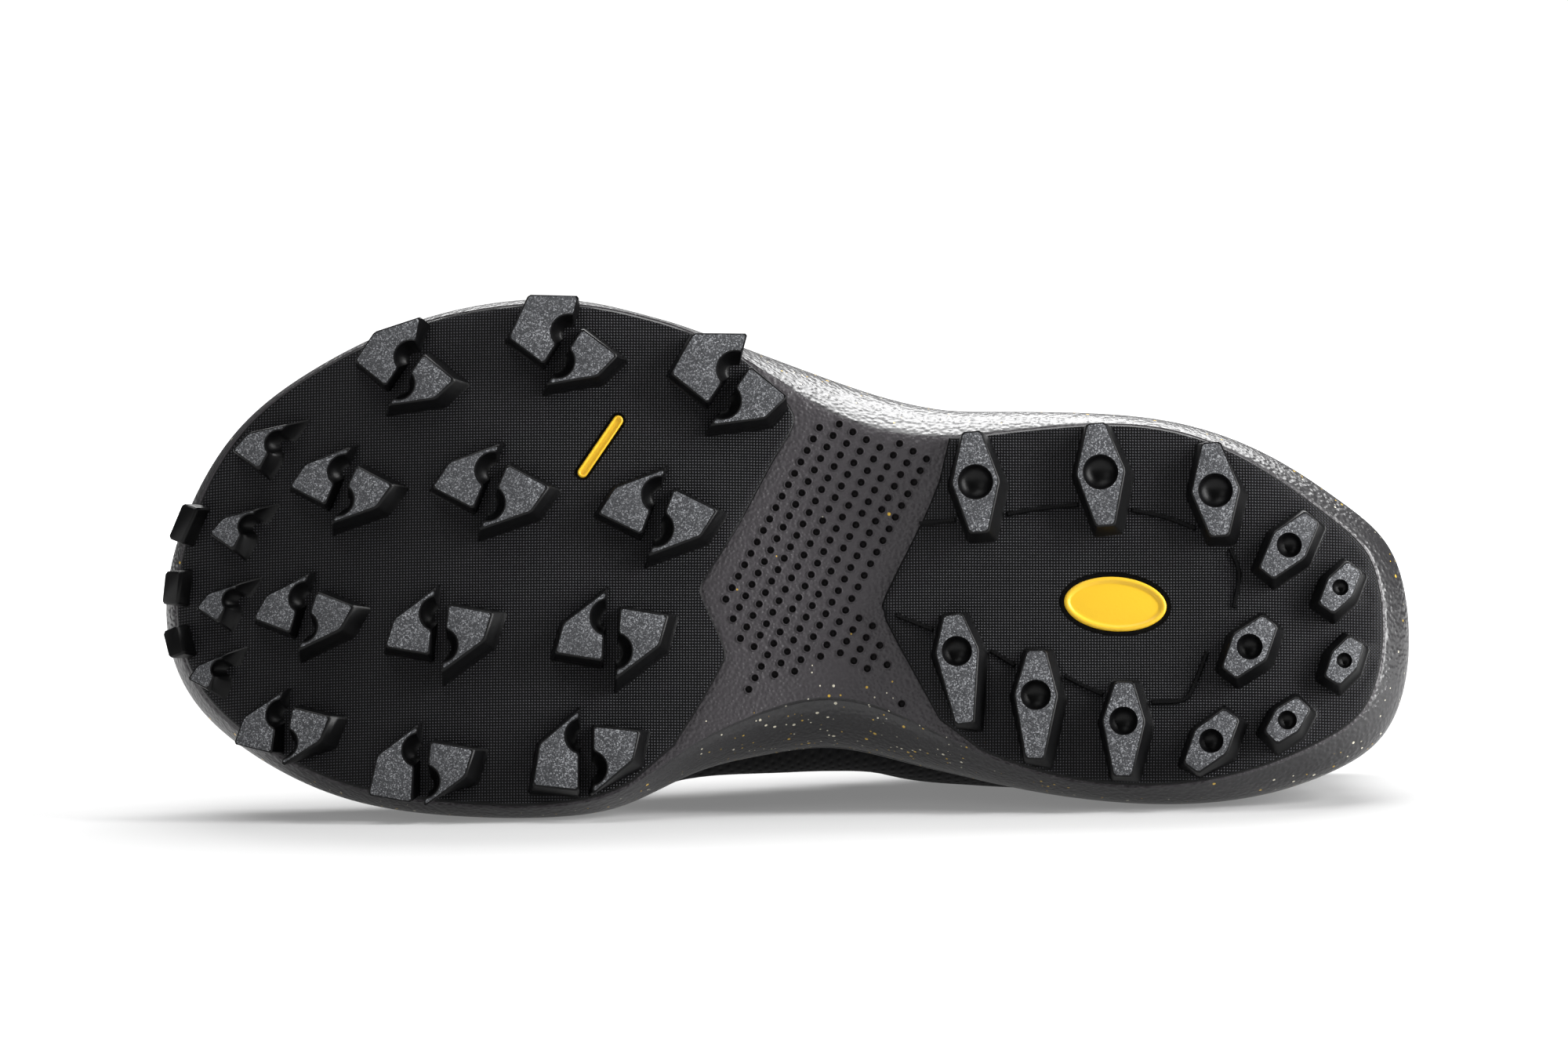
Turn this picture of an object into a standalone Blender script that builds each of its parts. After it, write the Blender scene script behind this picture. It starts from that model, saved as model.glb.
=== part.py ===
"""A trail running shoe, left foot, lying empty on its medial side with the sole facing -Y.

The shoe is worked out upright, in its own axes: x runs from the back of the heel to the toe, y is
positive on the lateral side, and z is the height above the ground under the lugs. A place round the
shoe is an angle, 0 at the back of the heel, pi at the toe, with the lateral side between them. An
empty named shoe then turns all of it onto its side. Lengths are in metres.
"""

import math

import bmesh
import bpy
import numpy as np
from mathutils import Matrix, Vector
from mathutils.geometry import delaunay_2d_cdt

# Driving sizes of the shoe
SHOE_LENGTH = 0.300
BALL_WIDTH = 0.1245
HEEL_WIDTH = 0.0925
SIDE_HEIGHT = 0.040
INSTEP_HEIGHT = 0.107

# Running surface
TOE_SPRING_START = 0.200
TOE_SPRING_RADIUS = 0.190
HEEL_BEVEL_START = 0.055
HEEL_BEVEL_RADIUS = 0.150
TOE_WRAP_START = 0.2800
TOE_WRAP = 0.0055
EDGE_ROLL = 0.0013
ARCH_HOLLOW = 0.0030
ARCH_CENTRE = 0.138
ARCH_REACH = 0.034

# Rubber
RUBBER_THICKNESS = 0.0018
RUBBER_MARGIN = 0.0006
LUG_HEIGHT = 0.0047
LUG_REACH = 0.0124
LUG_DRAFT = 0.0010
LUG_RAMP = 0.0015
GROOVE_DRAFT = 0.0002
LUG_EDGE = 0.0005
GROOVE_WIDTH = 0.0014
DIMPLE_DEPTH = 0.0030
RIDGE_WIDTH = 0.0012
RIDGE_HEIGHT = 0.0007
BADGE_LENGTH = 0.0270
BADGE_WIDTH = 0.0155
BAR_LENGTH = 0.0190
BAR_WIDTH = 0.0038
SEAT_DEPTH = 0.0009
BADGE_STAND = 0.0006

# The length that the sizes of lugs and badges were drawn for. They keep their share of the real one.
DRAWN_LENGTH = 0.300
TREAD_SCALE = SHOE_LENGTH / DRAWN_LENGTH

# Foam, textile and cord
RIM_WIDTH = 0.0030
SIDE_GROOVE_DEPTH = 0.0008
WALL = 0.0020
OVERLAY = 0.0008
COLLAR_PADDING = 0.0040
INSOLE_THICKNESS = 0.0045
TONGUE_THICKNESS = 0.0045
TONGUE_CROWN = 0.0030
TONGUE_CLEARANCE = 0.0008
LACE_WIDTH = 0.0060
LACE_THICKNESS = 0.0016
EYELET_RADIUS = 0.0021
EYELET_SETBACK = 0.0075
EYELET_PAIRS = 6
GAP = 0.0003

# Where the width changes from the heel's to the ball's, and where the rubber starts to roll over the
# edge, as shares of the length and of the half width
WIDTH_CHANGE = (0.35, 0.60)
EDGE_ROLL_FROM = 0.55
LEAST_HALF_WIDTH = 0.012

# The collar's padding, as shares of the length and rows of the upper
PADDED_TO = 0.36
PADDING_FADE = 0.06
PADDING_ROWS = (0.45, 0.70)
PADDING_TOP_ROW = 0.88
PADDING_TOP_LOSS = 0.6
RIB_TURN_OUT = 0.020

# Mesh fineness
AROUND = 64
UNDERSIDE_RUNGS = 8
RUNG_CLEARANCE = 0.0025
DIMPLE_STEP = 0.5
DIMPLE_RING_DIVE = math.radians(40)
FOOTBED_RUNGS = 5
EYELET_SIDES = 8
EYELET_SEARCH_STEPS = 30
TURN_CLEARANCE = 0.04
SHARP_ANGLE = math.radians(35)

# The widest line of the sole, seen from above: side, share of the length, share of the width there
OUTLINE = (
    ("lateral", 0.000, -0.059),
    ("lateral", 0.009, 0.130),
    ("lateral", 0.055, 0.293),
    ("lateral", 0.119, 0.419),
    ("lateral", 0.195, 0.498),
    ("lateral", 0.277, 0.521),
    ("lateral", 0.357, 0.529),
    ("lateral", 0.452, 0.541),
    ("lateral", 0.567, 0.550),
    ("lateral", 0.656, 0.599),
    ("lateral", 0.728, 0.601),
    ("lateral", 0.800, 0.565),
    ("lateral", 0.878, 0.483),
    ("lateral", 0.945, 0.362),
    ("lateral", 0.983, 0.213),
    ("lateral", 1.000, 0.032),
    ("medial", 0.979, -0.144),
    ("medial", 0.930, -0.262),
    ("medial", 0.850, -0.361),
    ("medial", 0.753, -0.401),
    ("medial", 0.678, -0.401),
    ("medial", 0.627, -0.374),
    ("medial", 0.575, -0.312),
    ("medial", 0.517, -0.285),
    ("medial", 0.460, -0.293),
    ("medial", 0.390, -0.380),
    ("medial", 0.327, -0.446),
    ("medial", 0.195, -0.504),
    ("medial", 0.119, -0.478),
    ("medial", 0.061, -0.411),
    ("medial", 0.016, -0.290),
)

# The foam's side wall, as shares of SIDE_HEIGHT: how far its bottom edge and its rim lie inside the
# widest line, and how high the widest line, the rim and the footbed lie above the toe spring's curve
SIDE_WALL = (
    # side, along, edge_inset, rim_inset, widest, rim, footbed
    ("lateral", 0.00, 0.150, 0.125, 0.66, 1.32, 0.79),
    ("lateral", 0.12, 0.108, 0.150, 0.46, 1.15, 0.78),
    ("lateral", 0.22, 0.080, 0.150, 0.43, 1.07, 0.77),
    ("lateral", 0.36, 0.200, 0.080, 0.55, 1.02, 0.75),
    ("lateral", 0.45, 0.250, 0.025, 0.72, 0.99, 0.72),
    ("lateral", 0.54, 0.085, 0.075, 0.55, 0.94, 0.67),
    ("lateral", 0.66, 0.045, 0.150, 0.40, 0.88, 0.61),
    ("lateral", 0.80, 0.040, 0.150, 0.38, 0.82, 0.56),
    ("lateral", 0.93, 0.042, 0.125, 0.38, 0.75, 0.48),
    ("lateral", 1.00, 0.055, 0.088, 0.44, 0.68, 0.40),
    ("medial", 0.93, 0.042, 0.125, 0.38, 0.75, 0.48),
    ("medial", 0.80, 0.040, 0.150, 0.38, 0.82, 0.56),
    ("medial", 0.66, 0.040, 0.150, 0.40, 0.90, 0.61),
    ("medial", 0.58, 0.095, 0.075, 0.55, 0.97, 0.65),
    ("medial", 0.46, 0.225, 0.020, 0.77, 1.05, 0.72),
    ("medial", 0.36, 0.110, 0.050, 0.60, 1.08, 0.75),
    ("medial", 0.24, 0.050, 0.138, 0.43, 1.10, 0.77),
    ("medial", 0.10, 0.125, 0.150, 0.47, 1.17, 0.78),
)
# Rings up the side: -1 is the bottom edge, 0 the widest line and 1 the rim. sunk marks the groove.
SIDE_RINGS = (
    # level, sunk
    (-1.00, False),
    (-0.50, False),
    (0.00, False),
    (0.36, False),
    (0.41, True),
    (0.50, True),
    (0.55, False),
    (1.00, False),
)
SIDE_BULGE = 1.8

# Ribs of the upper, each a cubic curve from the foam's rim to the edge of the collar or throat. top_x
# is a share of SHOE_LENGTH and top_y of HEEL_WIDTH. The rest are shares of INSTEP_HEIGHT: top_z is
# the height of the top end, lean and rise are the lower handle, out and up, and reach and drop the
# upper handle, out and down from the top end.
RIBS = (
    # side, along, top_x, top_y, top_z, lean, rise, reach, drop
    ("lateral", 0.00, 0.030, -0.020, 0.97, 0.045, 0.17, -0.060, 0.19),
    ("lateral", 0.06, 0.070, 0.240, 0.94, 0.035, 0.16, -0.010, 0.17),
    ("lateral", 0.20, 0.193, 0.351, 0.81, 0.030, 0.14, 0.030, 0.14),
    ("lateral", 0.33, 0.307, 0.324, 0.90, 0.040, 0.16, 0.055, 0.15),
    ("lateral", 0.41, 0.373, 0.227, 1.00, 0.055, 0.18, 0.110, 0.10),
    ("lateral", 0.53, 0.493, 0.195, 0.87, 0.045, 0.16, 0.165, 0.08),
    ("lateral", 0.68, 0.613, 0.184, 0.74, 0.038, 0.14, 0.205, 0.06),
    ("lateral", 0.82, 0.677, 0.151, 0.68, 0.030, 0.13, 0.215, 0.04),
    ("lateral", 0.95, 0.697, 0.103, 0.665, 0.020, 0.13, 0.245, 0.03),
    ("lateral", 1.00, 0.700, 0.065, 0.66, 0.020, 0.13, 0.260, 0.02),
    ("medial", 0.95, 0.697, 0.022, 0.665, 0.020, 0.13, 0.245, 0.03),
    ("medial", 0.82, 0.677, -0.032, 0.68, 0.030, 0.13, 0.215, 0.04),
    ("medial", 0.68, 0.613, -0.086, 0.74, 0.038, 0.15, 0.185, 0.06),
    ("medial", 0.53, 0.493, -0.119, 0.87, 0.120, 0.17, 0.165, 0.08),
    ("medial", 0.41, 0.373, -0.151, 1.00, 0.130, 0.18, 0.130, 0.11),
    ("medial", 0.33, 0.307, -0.280, 0.90, 0.062, 0.16, 0.070, 0.15),
    ("medial", 0.20, 0.193, -0.340, 0.83, 0.030, 0.14, 0.030, 0.14),
    ("medial", 0.06, 0.070, -0.235, 0.94, 0.035, 0.16, -0.010, 0.17),
)
# Rows of the upper, from inside the foam's cup at -1 past its rim at 0 to the top edge at 1
UPPER_ROWS = (-1.0, 0.0, 0.08, 0.17, 0.26, 0.28, 0.40, 0.52, 0.64, 0.74, 0.80, 0.82, 0.91, 1.0)
BAND_TOP = 0.27
EYESTAY_FOOT = 0.81
# The stretches that an overlay covers: band, from and to as shares of the length
OVERLAYS = (
    ("lower", 0.74, 1.00),
    ("lower", 0.00, 0.20),
    ("upper", 0.41, 1.00),
)

# The front end of the heel rubber and the rear end of the forefoot rubber, from the lateral to the
# medial side: share of the length, share of the width there. Elsewhere they follow the foam's edge.
FOREFOOT_REAR_EDGE = (
    (0.511, 0.466),
    (0.498, 0.430),
    (0.494, 0.390),
    (0.511, 0.300),
    (0.540, 0.152),
    (0.562, 0.062),
    (0.568, 0.030),
    (0.565, 0.001),
    (0.549, -0.091),
    (0.553, -0.128),
    (0.569, -0.197),
    (0.590, -0.275),
)
FOREFOOT_PAD_ENDS = (0.530, 0.618)
HEEL_FRONT_EDGE = (
    (0.378, 0.318),
    (0.390, 0.223),
    (0.421, 0.024),
    (0.422, -0.015),
    (0.416, -0.066),
    (0.378, -0.295),
)
HEEL_PAD_ENDS = (0.366, 0.350)
# The raised line round the heel rubber's middle panel, in the runs between the lugs
PANEL_RIDGES = (
    ((0.394, 0.207), (0.370, 0.217)),
    ((0.322, 0.235), (0.297, 0.249), (0.275, 0.256)),
    ((0.221, 0.243), (0.198, 0.227), (0.183, 0.209)),
    ((0.142, 0.118), (0.138, 0.080), (0.142, -0.008)),
    ((0.164, -0.128), (0.174, -0.211), (0.183, -0.252), (0.206, -0.258)),
    ((0.251, -0.232), (0.265, -0.211), (0.277, -0.190)),
    ((0.320, -0.156), (0.336, -0.123)),
    ((0.385, -0.063), (0.412, -0.026)),
)

# Forefoot lugs: share of the length, share of the width, turn in degrees, scale, and how far the
# front half's corners are drawn out over the sole's edge, as shares of LUG_REACH: its lateral end,
# its front corner and its medial corners
FOREFOOT_LUGS = (
    (0.806, 0.455, 31, 0.95, 0.36, 0.20, 0.00),
    (0.679, 0.496, 28, 1.02, 0.24, 0.44, 0.00),
    (0.546, 0.434, 30, 1.10, 0.22, 0.36, 0.00),
    (0.857, 0.235, 20, 0.96, 0.00, 0.00, 0.00),
    (0.737, 0.224, 19, 1.08, 0.00, 0.00, 0.00),
    (0.603, 0.174, 17, 1.10, 0.00, 0.00, 0.00),
    (0.887, -0.009, 14, 0.94, 0.00, 0.00, 0.00),
    (0.778, -0.052, 2, 1.04, 0.00, 0.00, 0.00),
    (0.640, -0.064, 0, 1.10, 0.00, 0.00, 0.00),
    (0.904, -0.234, 7, 0.92, 0.00, 0.00, 0.06),
    (0.792, -0.316, 2, 1.02, 0.00, 0.00, 0.24),
    (0.660, -0.293, -3, 1.06, 0.00, 0.00, 0.24),
)
# Half lugs in front of them
FRONT_LUGS = (
    (0.911, 0.300, 29, 0.80),
    (0.933, 0.144, 28, 0.72),
    (0.946, 0.004, 26, 0.66),
    (0.955, -0.128, 22, 0.60),
)
# Cleats on the tip of the toe: share of the length, share of the width, turn, length
TOE_CLEATS = (
    (0.986, 0.182, 24, 0.0090),
    (0.995, 0.060, 6, 0.0080),
    (0.993, -0.048, -14, 0.0072),
)
CLEAT_WIDTH = 0.0042
# The direction towards which the lugs' walls slope most
RAMP_WAY = (-0.90, -0.44)
# One half of a forefoot lug's top, as shares of LUG_REACH, forward and sideways from its centre:
# lateral end, foot of the groove, medial corner, front corner
LUG_HALF = (
    (0.02, 0.80),
    (0.10, -0.48),
    (1.00, -0.34),
    (0.85, 0.20),
)
BITE_CENTRE = (0.04, 0.30)
BITE_RADIUS = 0.32
BITE_STEPS = 4
# How far the bite's wall slopes out below the top, as a share of its radius
BITE_SLOPE = 0.55

# Heel lugs: share of the length, share of the width, turn in degrees, how far the top reaches from
# its dimple to the lateral and to the medial side, its width, and the dimple's radius
HEEL_LUGS = (
    (0.349, 0.312, -4, 0.0124, 0.0124, 0.0117, 0.0041),
    (0.249, 0.338, -5, 0.0120, 0.0132, 0.0120, 0.0041),
    (0.157, 0.290, -5, 0.0118, 0.0112, 0.0120, 0.0040),
    (0.098, 0.150, 39, 0.0090, 0.0090, 0.0098, 0.0029),
    (0.057, 0.043, 34, 0.0064, 0.0064, 0.0076, 0.0019),
    (0.054, -0.148, 31, 0.0060, 0.0060, 0.0074, 0.0018),
    (0.130, -0.118, 38, 0.0082, 0.0082, 0.0102, 0.0030),
    (0.100, -0.308, 43, 0.0060, 0.0060, 0.0078, 0.0022),
    (0.161, -0.365, 37, 0.0083, 0.0083, 0.0098, 0.0028),
    (0.231, -0.313, 1, 0.0095, 0.0135, 0.0104, 0.0033),
    (0.301, -0.245, 1, 0.0109, 0.0156, 0.0106, 0.0035),
    (0.364, -0.130, -6, 0.0090, 0.0178, 0.0106, 0.0035),
)
HEEL_LUG_END = 0.0046
HEEL_LUG_END_SHARE = 0.6

# Badges in the rubber: share of the length, share of the width, turn in degrees
HEEL_BADGE_PLACE = (0.237, 0.000, 4)
FOREFOOT_BADGE_PLACE = (0.649, 0.306, -56)
BADGE_SIDES = 20

# The tongue: its last stations before it leaves the throat, and its free end above them
TONGUE_FROM = 0.430
TONGUE_TO = 0.930
TONGUE_LAP = 0.20
TONGUE_END_LAP = 0.10
TONGUE_END = (
    # back, up, width
    (0.30, 0.10, 0.74),
    (0.65, 0.55, 0.70),
    (0.90, 0.90, 0.64),
    (1.00, 1.00, 0.48),
)
TONGUE_PROFILE = (0.4, 0.75, 1.0, 1.0, 1.0, 1.0, 1.0, 0.75, 0.4)
TONGUE_END_BACK = 0.022
TONGUE_END_RISE = 0.020

EYELET_FIRST = 0.435
EYELET_LAST = 0.735

DENSITIES = {"rubber": 1150.0, "yellow_rubber": 1150.0, "foam": 180.0}
TEXTILE_DENSITY = 330.0
FINISHES = {
    # name: base colour, roughness
    "rubber": ((0.010, 0.010, 0.012), 0.55),
    "foam": ((0.060, 0.057, 0.060), 0.50),
    "mesh_fabric": ((0.010, 0.010, 0.011), 0.85),
    "lining": ((0.014, 0.014, 0.015), 0.95),
    "yellow_rubber": ((0.790, 0.490, 0.018), 0.50),
    "lace_cord": ((0.016, 0.016, 0.017), 0.80),
}


# Curves through the tables

def angle_of(side, along):
    """The angle round the shoe of a share of its length on one side."""
    turn = math.acos(max(-1.0, min(1.0, 1.0 - 2.0 * along)))
    return turn if side == "lateral" else 2.0 * math.pi - turn


def closed_spline(knots, values, at):
    """A smooth closed curve of period two pi through the values at the knots, read at the angles."""
    order = np.argsort(knots)
    x = np.asarray(knots, float)[order]
    y = np.asarray(values, float)[order]
    n = len(x)
    step = np.diff(np.append(x, x[0] + 2.0 * math.pi))
    rise = np.diff(np.append(y, y[0])) / step
    matrix = np.zeros((n, n))
    right = np.zeros(n)
    for i in range(n):
        before = (i - 1) % n
        matrix[i, before] += 1.0 / step[before]
        matrix[i, i] += 2.0 * (1.0 / step[before] + 1.0 / step[i])
        matrix[i, (i + 1) % n] += 1.0 / step[i]
        right[i] = 3.0 * (rise[before] / step[before] + rise[i] / step[i])
    slope = np.linalg.solve(matrix, right)
    wrapped = np.mod(np.asarray(at, float) - x[0], 2.0 * math.pi) + x[0]
    i = np.clip(np.searchsorted(x, wrapped, side="right") - 1, 0, n - 1)
    t = (wrapped - x[i]) / step[i]
    after = (i + 1) % n
    return (
        (1 + 2 * t) * (1 - t) ** 2 * y[i]
        + t * (1 - t) ** 2 * step[i] * slope[i]
        + t * t * (3 - 2 * t) * y[after]
        + t * t * (t - 1) * step[i] * slope[after]
    )


def station(rows, column, angles):
    """One column of a table of stations round the shoe, read at the angles."""
    knots = [angle_of(row[0], row[1]) for row in rows]
    return closed_spline(knots, [row[column] for row in rows], angles)


def ease(value):
    """A smooth step from 0 to 1."""
    t = np.clip(value, 0.0, 1.0)
    return t * t * (3.0 - 2.0 * t)


def turn_of(x):
    """The lateral angle of a place along the length."""
    return np.arccos(np.clip(1.0 - 2.0 * np.asarray(x, float) / SHOE_LENGTH, -1.0, 1.0))


# Outline and running surface

def local_width(along):
    """The width that a share across the sole is taken of, at a share of the length."""
    start, end = WIDTH_CHANGE
    return HEEL_WIDTH + (BALL_WIDTH - HEEL_WIDTH) * ease((np.asarray(along) - start) / (end - start))


def plan(along, across):
    """The point of the sole, seen from above, at these shares."""
    return np.array([SHOE_LENGTH * along, across * float(local_width(along))])


def outline_points(angles):
    """The widest line of the sole, as an array of x, y."""
    along = (1.0 - np.cos(angles)) / 2.0
    return np.stack([SHOE_LENGTH * along, station(OUTLINE, 2, angles) * local_width(along)], 1)


def outline_normals(angles):
    """Unit vectors out of the sole, seen from above, along its widest line."""
    small = 1e-3
    run = outline_points(angles + small) - outline_points(angles - small)
    normal = np.stack([-run[:, 1], run[:, 0]], 1)
    return normal / np.linalg.norm(normal, axis=1)[:, None]


def inset_points(angles, inset):
    """The widest line moved inwards by the inset at each angle."""
    return outline_points(angles) - outline_normals(angles) * np.reshape(inset, (-1, 1))


def toe_spring(x):
    """How far the sole's curve rises towards the toe."""
    return np.maximum(0.0, x - TOE_SPRING_START) ** 2 / (2.0 * TOE_SPRING_RADIUS)


def ground_line(x):
    """The height of the lugs' tops: flat in the middle, rising at the toe and at the heel."""
    bevel = np.maximum(0.0, HEEL_BEVEL_START - x) ** 2 / (2.0 * HEEL_BEVEL_RADIUS)
    wrap = np.clip((x - TOE_WRAP_START) / (SHOE_LENGTH - TOE_WRAP_START), 0.0, 1.2) ** 2
    return toe_spring(x) + bevel + TOE_WRAP * wrap


def edge_share(x, y):
    """How far a point lies from the middle of the sole towards its edge, from 0 to 1."""
    lateral = outline_points(turn_of(x))[:, 1]
    medial = outline_points(2.0 * math.pi - turn_of(x))[:, 1]
    half = np.maximum((lateral - medial) / 2.0, LEAST_HALF_WIDTH)
    return np.abs(y - (lateral + medial) / 2.0) / half


def underside(points):
    """The height of the foam's bottom at these x, y, over which the rubber lies."""
    x, y = np.atleast_2d(points)[:, 0], np.atleast_2d(points)[:, 1]
    roll = EDGE_ROLL * np.clip(1.0 - (1.0 - edge_share(x, y)) / (1.0 - EDGE_ROLL_FROM), 0.0, 1.0) ** 2
    hollow = ARCH_HOLLOW * ease(1.0 - np.abs(x - ARCH_CENTRE) / ARCH_REACH)
    return ground_line(x) + roll + hollow + LUG_HEIGHT + RUBBER_THICKNESS + GAP


def rubber_face(points):
    """The height of the rubber's outer face between the lugs."""
    return underside(points) - GAP - RUBBER_THICKNESS


def footbed(points):
    """The height of the foam's floor under the insole."""
    x = np.atleast_2d(points)[:, 0]
    return toe_spring(x) + SIDE_HEIGHT * station(SIDE_WALL, 6, turn_of(x))


def down_normal(point):
    """The direction out of the sole at a point, at right angles to the ground line."""
    small = 1e-4
    slope = (ground_line(point[0] + small) - ground_line(point[0] - small)) / (2.0 * small)
    return np.array([slope, 0.0, -1.0]) / math.hypot(slope, 1.0)


# Meshes

class Skin:
    """The points and faces of one closed piece, gathered part by part."""

    def __init__(self):
        self.points = []
        self.faces = []

    def add(self, points):
        """Adds points and returns their indices."""
        first = len(self.points)
        self.points.extend(np.array(point, float) for point in points)
        return list(range(first, len(self.points)))

    def band(self, first, second, closed=True):
        """Joins two rings or rows with the same count of points."""
        count = len(first)
        for k in range(count if closed else count - 1):
            after = (k + 1) % count
            self.faces.append((first[k], first[after], second[after], second[k]))

    def rungs(self, ring, steps, height):
        """Fills a ring with rungs from its lateral to its medial half, at a height for each point."""
        half = len(ring) // 2
        rows = []
        for k in range(1, half):
            left, right = self.points[ring[k]], self.points[ring[-k]]
            spots = np.array([left + (right - left) * j / steps for j in range(1, steps)])
            spots[:, 2] = height(spots)
            rows.append([ring[k], *self.add(spots), ring[-k]])
        for j in range(steps):
            self.faces.append((ring[0], rows[0][j], rows[0][j + 1]))
            self.faces.append((ring[half], rows[-1][j + 1], rows[-1][j]))
        for low, high in zip(rows, rows[1:]):
            self.band(low, high, closed=False)

    def piece(self, name, finish_name):
        """Makes the object, with its faces turned outwards and its round stretches smooth."""
        mesh = bpy.data.meshes.new(name)
        mesh.from_pydata([tuple(map(float, point)) for point in self.points], [], self.faces)
        shape = bmesh.new()
        shape.from_mesh(mesh)
        bmesh.ops.recalc_face_normals(shape, faces=shape.faces)
        shape.to_mesh(mesh)
        shape.free()
        mesh.shade_smooth()
        mesh.set_sharp_from_angle(angle=SHARP_ANGLE)
        mesh.materials.append(finish(finish_name))
        piece = bpy.data.objects.new(name, mesh)
        bpy.context.scene.collection.objects.link(piece)
        return piece


def finish(name):
    """The material of that name, made once."""
    found = bpy.data.materials.get(name)
    if found:
        return found
    colour, roughness = FINISHES[name]
    material = bpy.data.materials.new(name)
    material.use_nodes = True
    shader = material.node_tree.nodes["Principled BSDF"]
    shader.inputs["Base Color"].default_value = (*colour, 1.0)
    shader.inputs["Roughness"].default_value = roughness
    shader.inputs["Metallic"].default_value = 0.0
    return material


def combine(piece, others, operation):
    """Adds the other pieces to this one, or cuts them from it, and removes them."""
    for other in others:
        change = piece.modifiers.new(operation.lower(), "BOOLEAN")
        change.operation = operation
        change.solver = "EXACT"
        change.object = other
        other.hide_render = True
        other.display_type = "WIRE"
    bpy.context.view_layer.update()
    graph = bpy.context.evaluated_depsgraph_get()
    made = bpy.data.meshes.new_from_object(piece.evaluated_get(graph))
    piece.modifiers.clear()
    piece.data = made
    for other in others:
        bpy.data.objects.remove(other)
    return piece


# Loops in the plan of the sole

# Two edges whose directions agree this well, as the cosine between them, are moved as one
STRAIGHT_JOIN = 0.94


def signed_area(loop):
    """Twice the area of a flat loop, positive when it runs counterclockwise."""
    after = np.roll(loop, -1, axis=0)
    return float(np.sum(loop[:, 0] * after[:, 1] - loop[:, 1] * after[:, 0]))


def shrunk(loop, distance):
    """A counterclockwise loop moved inwards, by one distance or by one for each of its edges."""
    run = np.roll(loop, -1, axis=0) - loop
    run /= np.linalg.norm(run, axis=1)[:, None]
    ahead = np.stack([-run[:, 1], run[:, 0]], 1)
    behind = np.roll(ahead, 1, axis=0)
    far = np.broadcast_to(distance, len(loop))
    near = np.roll(far, 1)
    turn = np.sum(ahead * behind, axis=1)
    bend = np.maximum(1.0 - turn**2, 1.0 - STRAIGHT_JOIN)
    weights = np.stack([far - near * turn, near - far * turn], 1) / bend[:, None]
    straight = np.stack([far, near], 1) / (1.0 + turn)[:, None]
    weights = np.where((turn > STRAIGHT_JOIN)[:, None], straight, weights)
    return loop + ahead * weights[:, :1] + behind * weights[:, 1:]


def placed(loop, along, across, degrees):
    """A loop turned and moved to a place on the sole."""
    turn = math.radians(degrees)
    spin = np.array([[math.cos(turn), math.sin(turn)], [-math.sin(turn), math.cos(turn)]])
    return np.asarray(loop) @ spin + plan(along, across)


def nearest_inside(points, loop):
    """For each point, its distance inside a counterclockwise loop, and the direction inwards."""
    start = loop
    run = np.roll(loop, -1, axis=0) - loop
    length = np.linalg.norm(run, axis=1)
    inward = np.stack([-run[:, 1], run[:, 0]], 1) / length[:, None]
    depths, ways = [], []
    for point in points:
        share = np.clip(np.sum((point - start) * run, axis=1) / length**2, 0.0, 1.0)
        away = point - (start + run * share[:, None])
        far = np.linalg.norm(away, axis=1)
        k = int(np.argmin(far))
        side = float(np.dot(point - start[k], inward[k]))
        depths.append(math.copysign(far[k], side))
        ways.append(inward[k])
    return np.array(depths), np.array(ways)


def kept_inside(loop, border, margin):
    """A loop whose points lie at least the margin inside a border."""
    depth, way = nearest_inside(loop, border)
    push = np.maximum(0.0, margin - depth)
    return loop + way * push[:, None]


def split_lug_half(scale):
    """The top of one half of a forefoot lug, with a round bite out of its groove side.

    The groove side comes first, from the lateral end, and the last three edges are the outer ones.
    """
    reach = LUG_REACH * scale
    end, foot, medial, front = (np.array(corner) * reach for corner in LUG_HALF)
    shift = np.array([GROOVE_WIDTH / 2.0, 0.0])
    end, foot = end + shift, foot + shift
    centre, radius = np.array(BITE_CENTRE) * reach, BITE_RADIUS * reach
    run = foot - end
    a, b, c = run @ run, 2.0 * run @ (end - centre), (end - centre) @ (end - centre) - radius**2
    root = math.sqrt(b * b - 4.0 * a * c)
    meets = [end + run * (-b + sign * root) / (2.0 * a) - centre for sign in (-1, 1)]
    turns = [math.atan2(meet[1], meet[0]) for meet in meets]
    arc = [
        centre + radius * np.array([math.cos(turn), math.sin(turn)])
        for turn in np.linspace(turns[0], turns[1], BITE_STEPS + 1)
    ]
    return np.array([end, *arc, foot, medial, front])


def bite_slope(scale):
    """How far the wall of a bite slopes out in a lug of this scale."""
    return BITE_SLOPE * BITE_RADIUS * LUG_REACH * scale


def hexagon(lateral, medial, width):
    """A long hexagon with narrow ends, reaching these distances from its widest place."""
    end, side = min(HEEL_LUG_END, HEEL_LUG_END_SHARE * width) / 2.0, width / 2.0
    return np.array(
        [(side, 0), (end, lateral), (-end, lateral), (-side, 0), (-end, -medial), (end, -medial)]
    )


def rectangle(length, width):
    """A rectangle, long across the sole."""
    half, side = length / 2.0, width / 2.0
    return np.array([(side, -half), (side, half), (-side, half), (-side, -half)])


def oval(length, width):
    """An ellipse, long along the sole."""
    turns = np.linspace(0.0, 2.0 * math.pi, BADGE_SIDES, endpoint=False)
    return np.stack([np.cos(turns) * length / 2.0, np.sin(turns) * width / 2.0], 1)


def round_bar(length, width):
    """A bar with round ends, long along the sole."""
    radius = width / 2.0
    turns = np.linspace(-math.pi / 2.0, math.pi / 2.0, 5)
    end = np.stack([np.cos(turns) * radius + length / 2.0 - radius, np.sin(turns) * radius], 1)
    return np.concatenate([end, -end])


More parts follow.
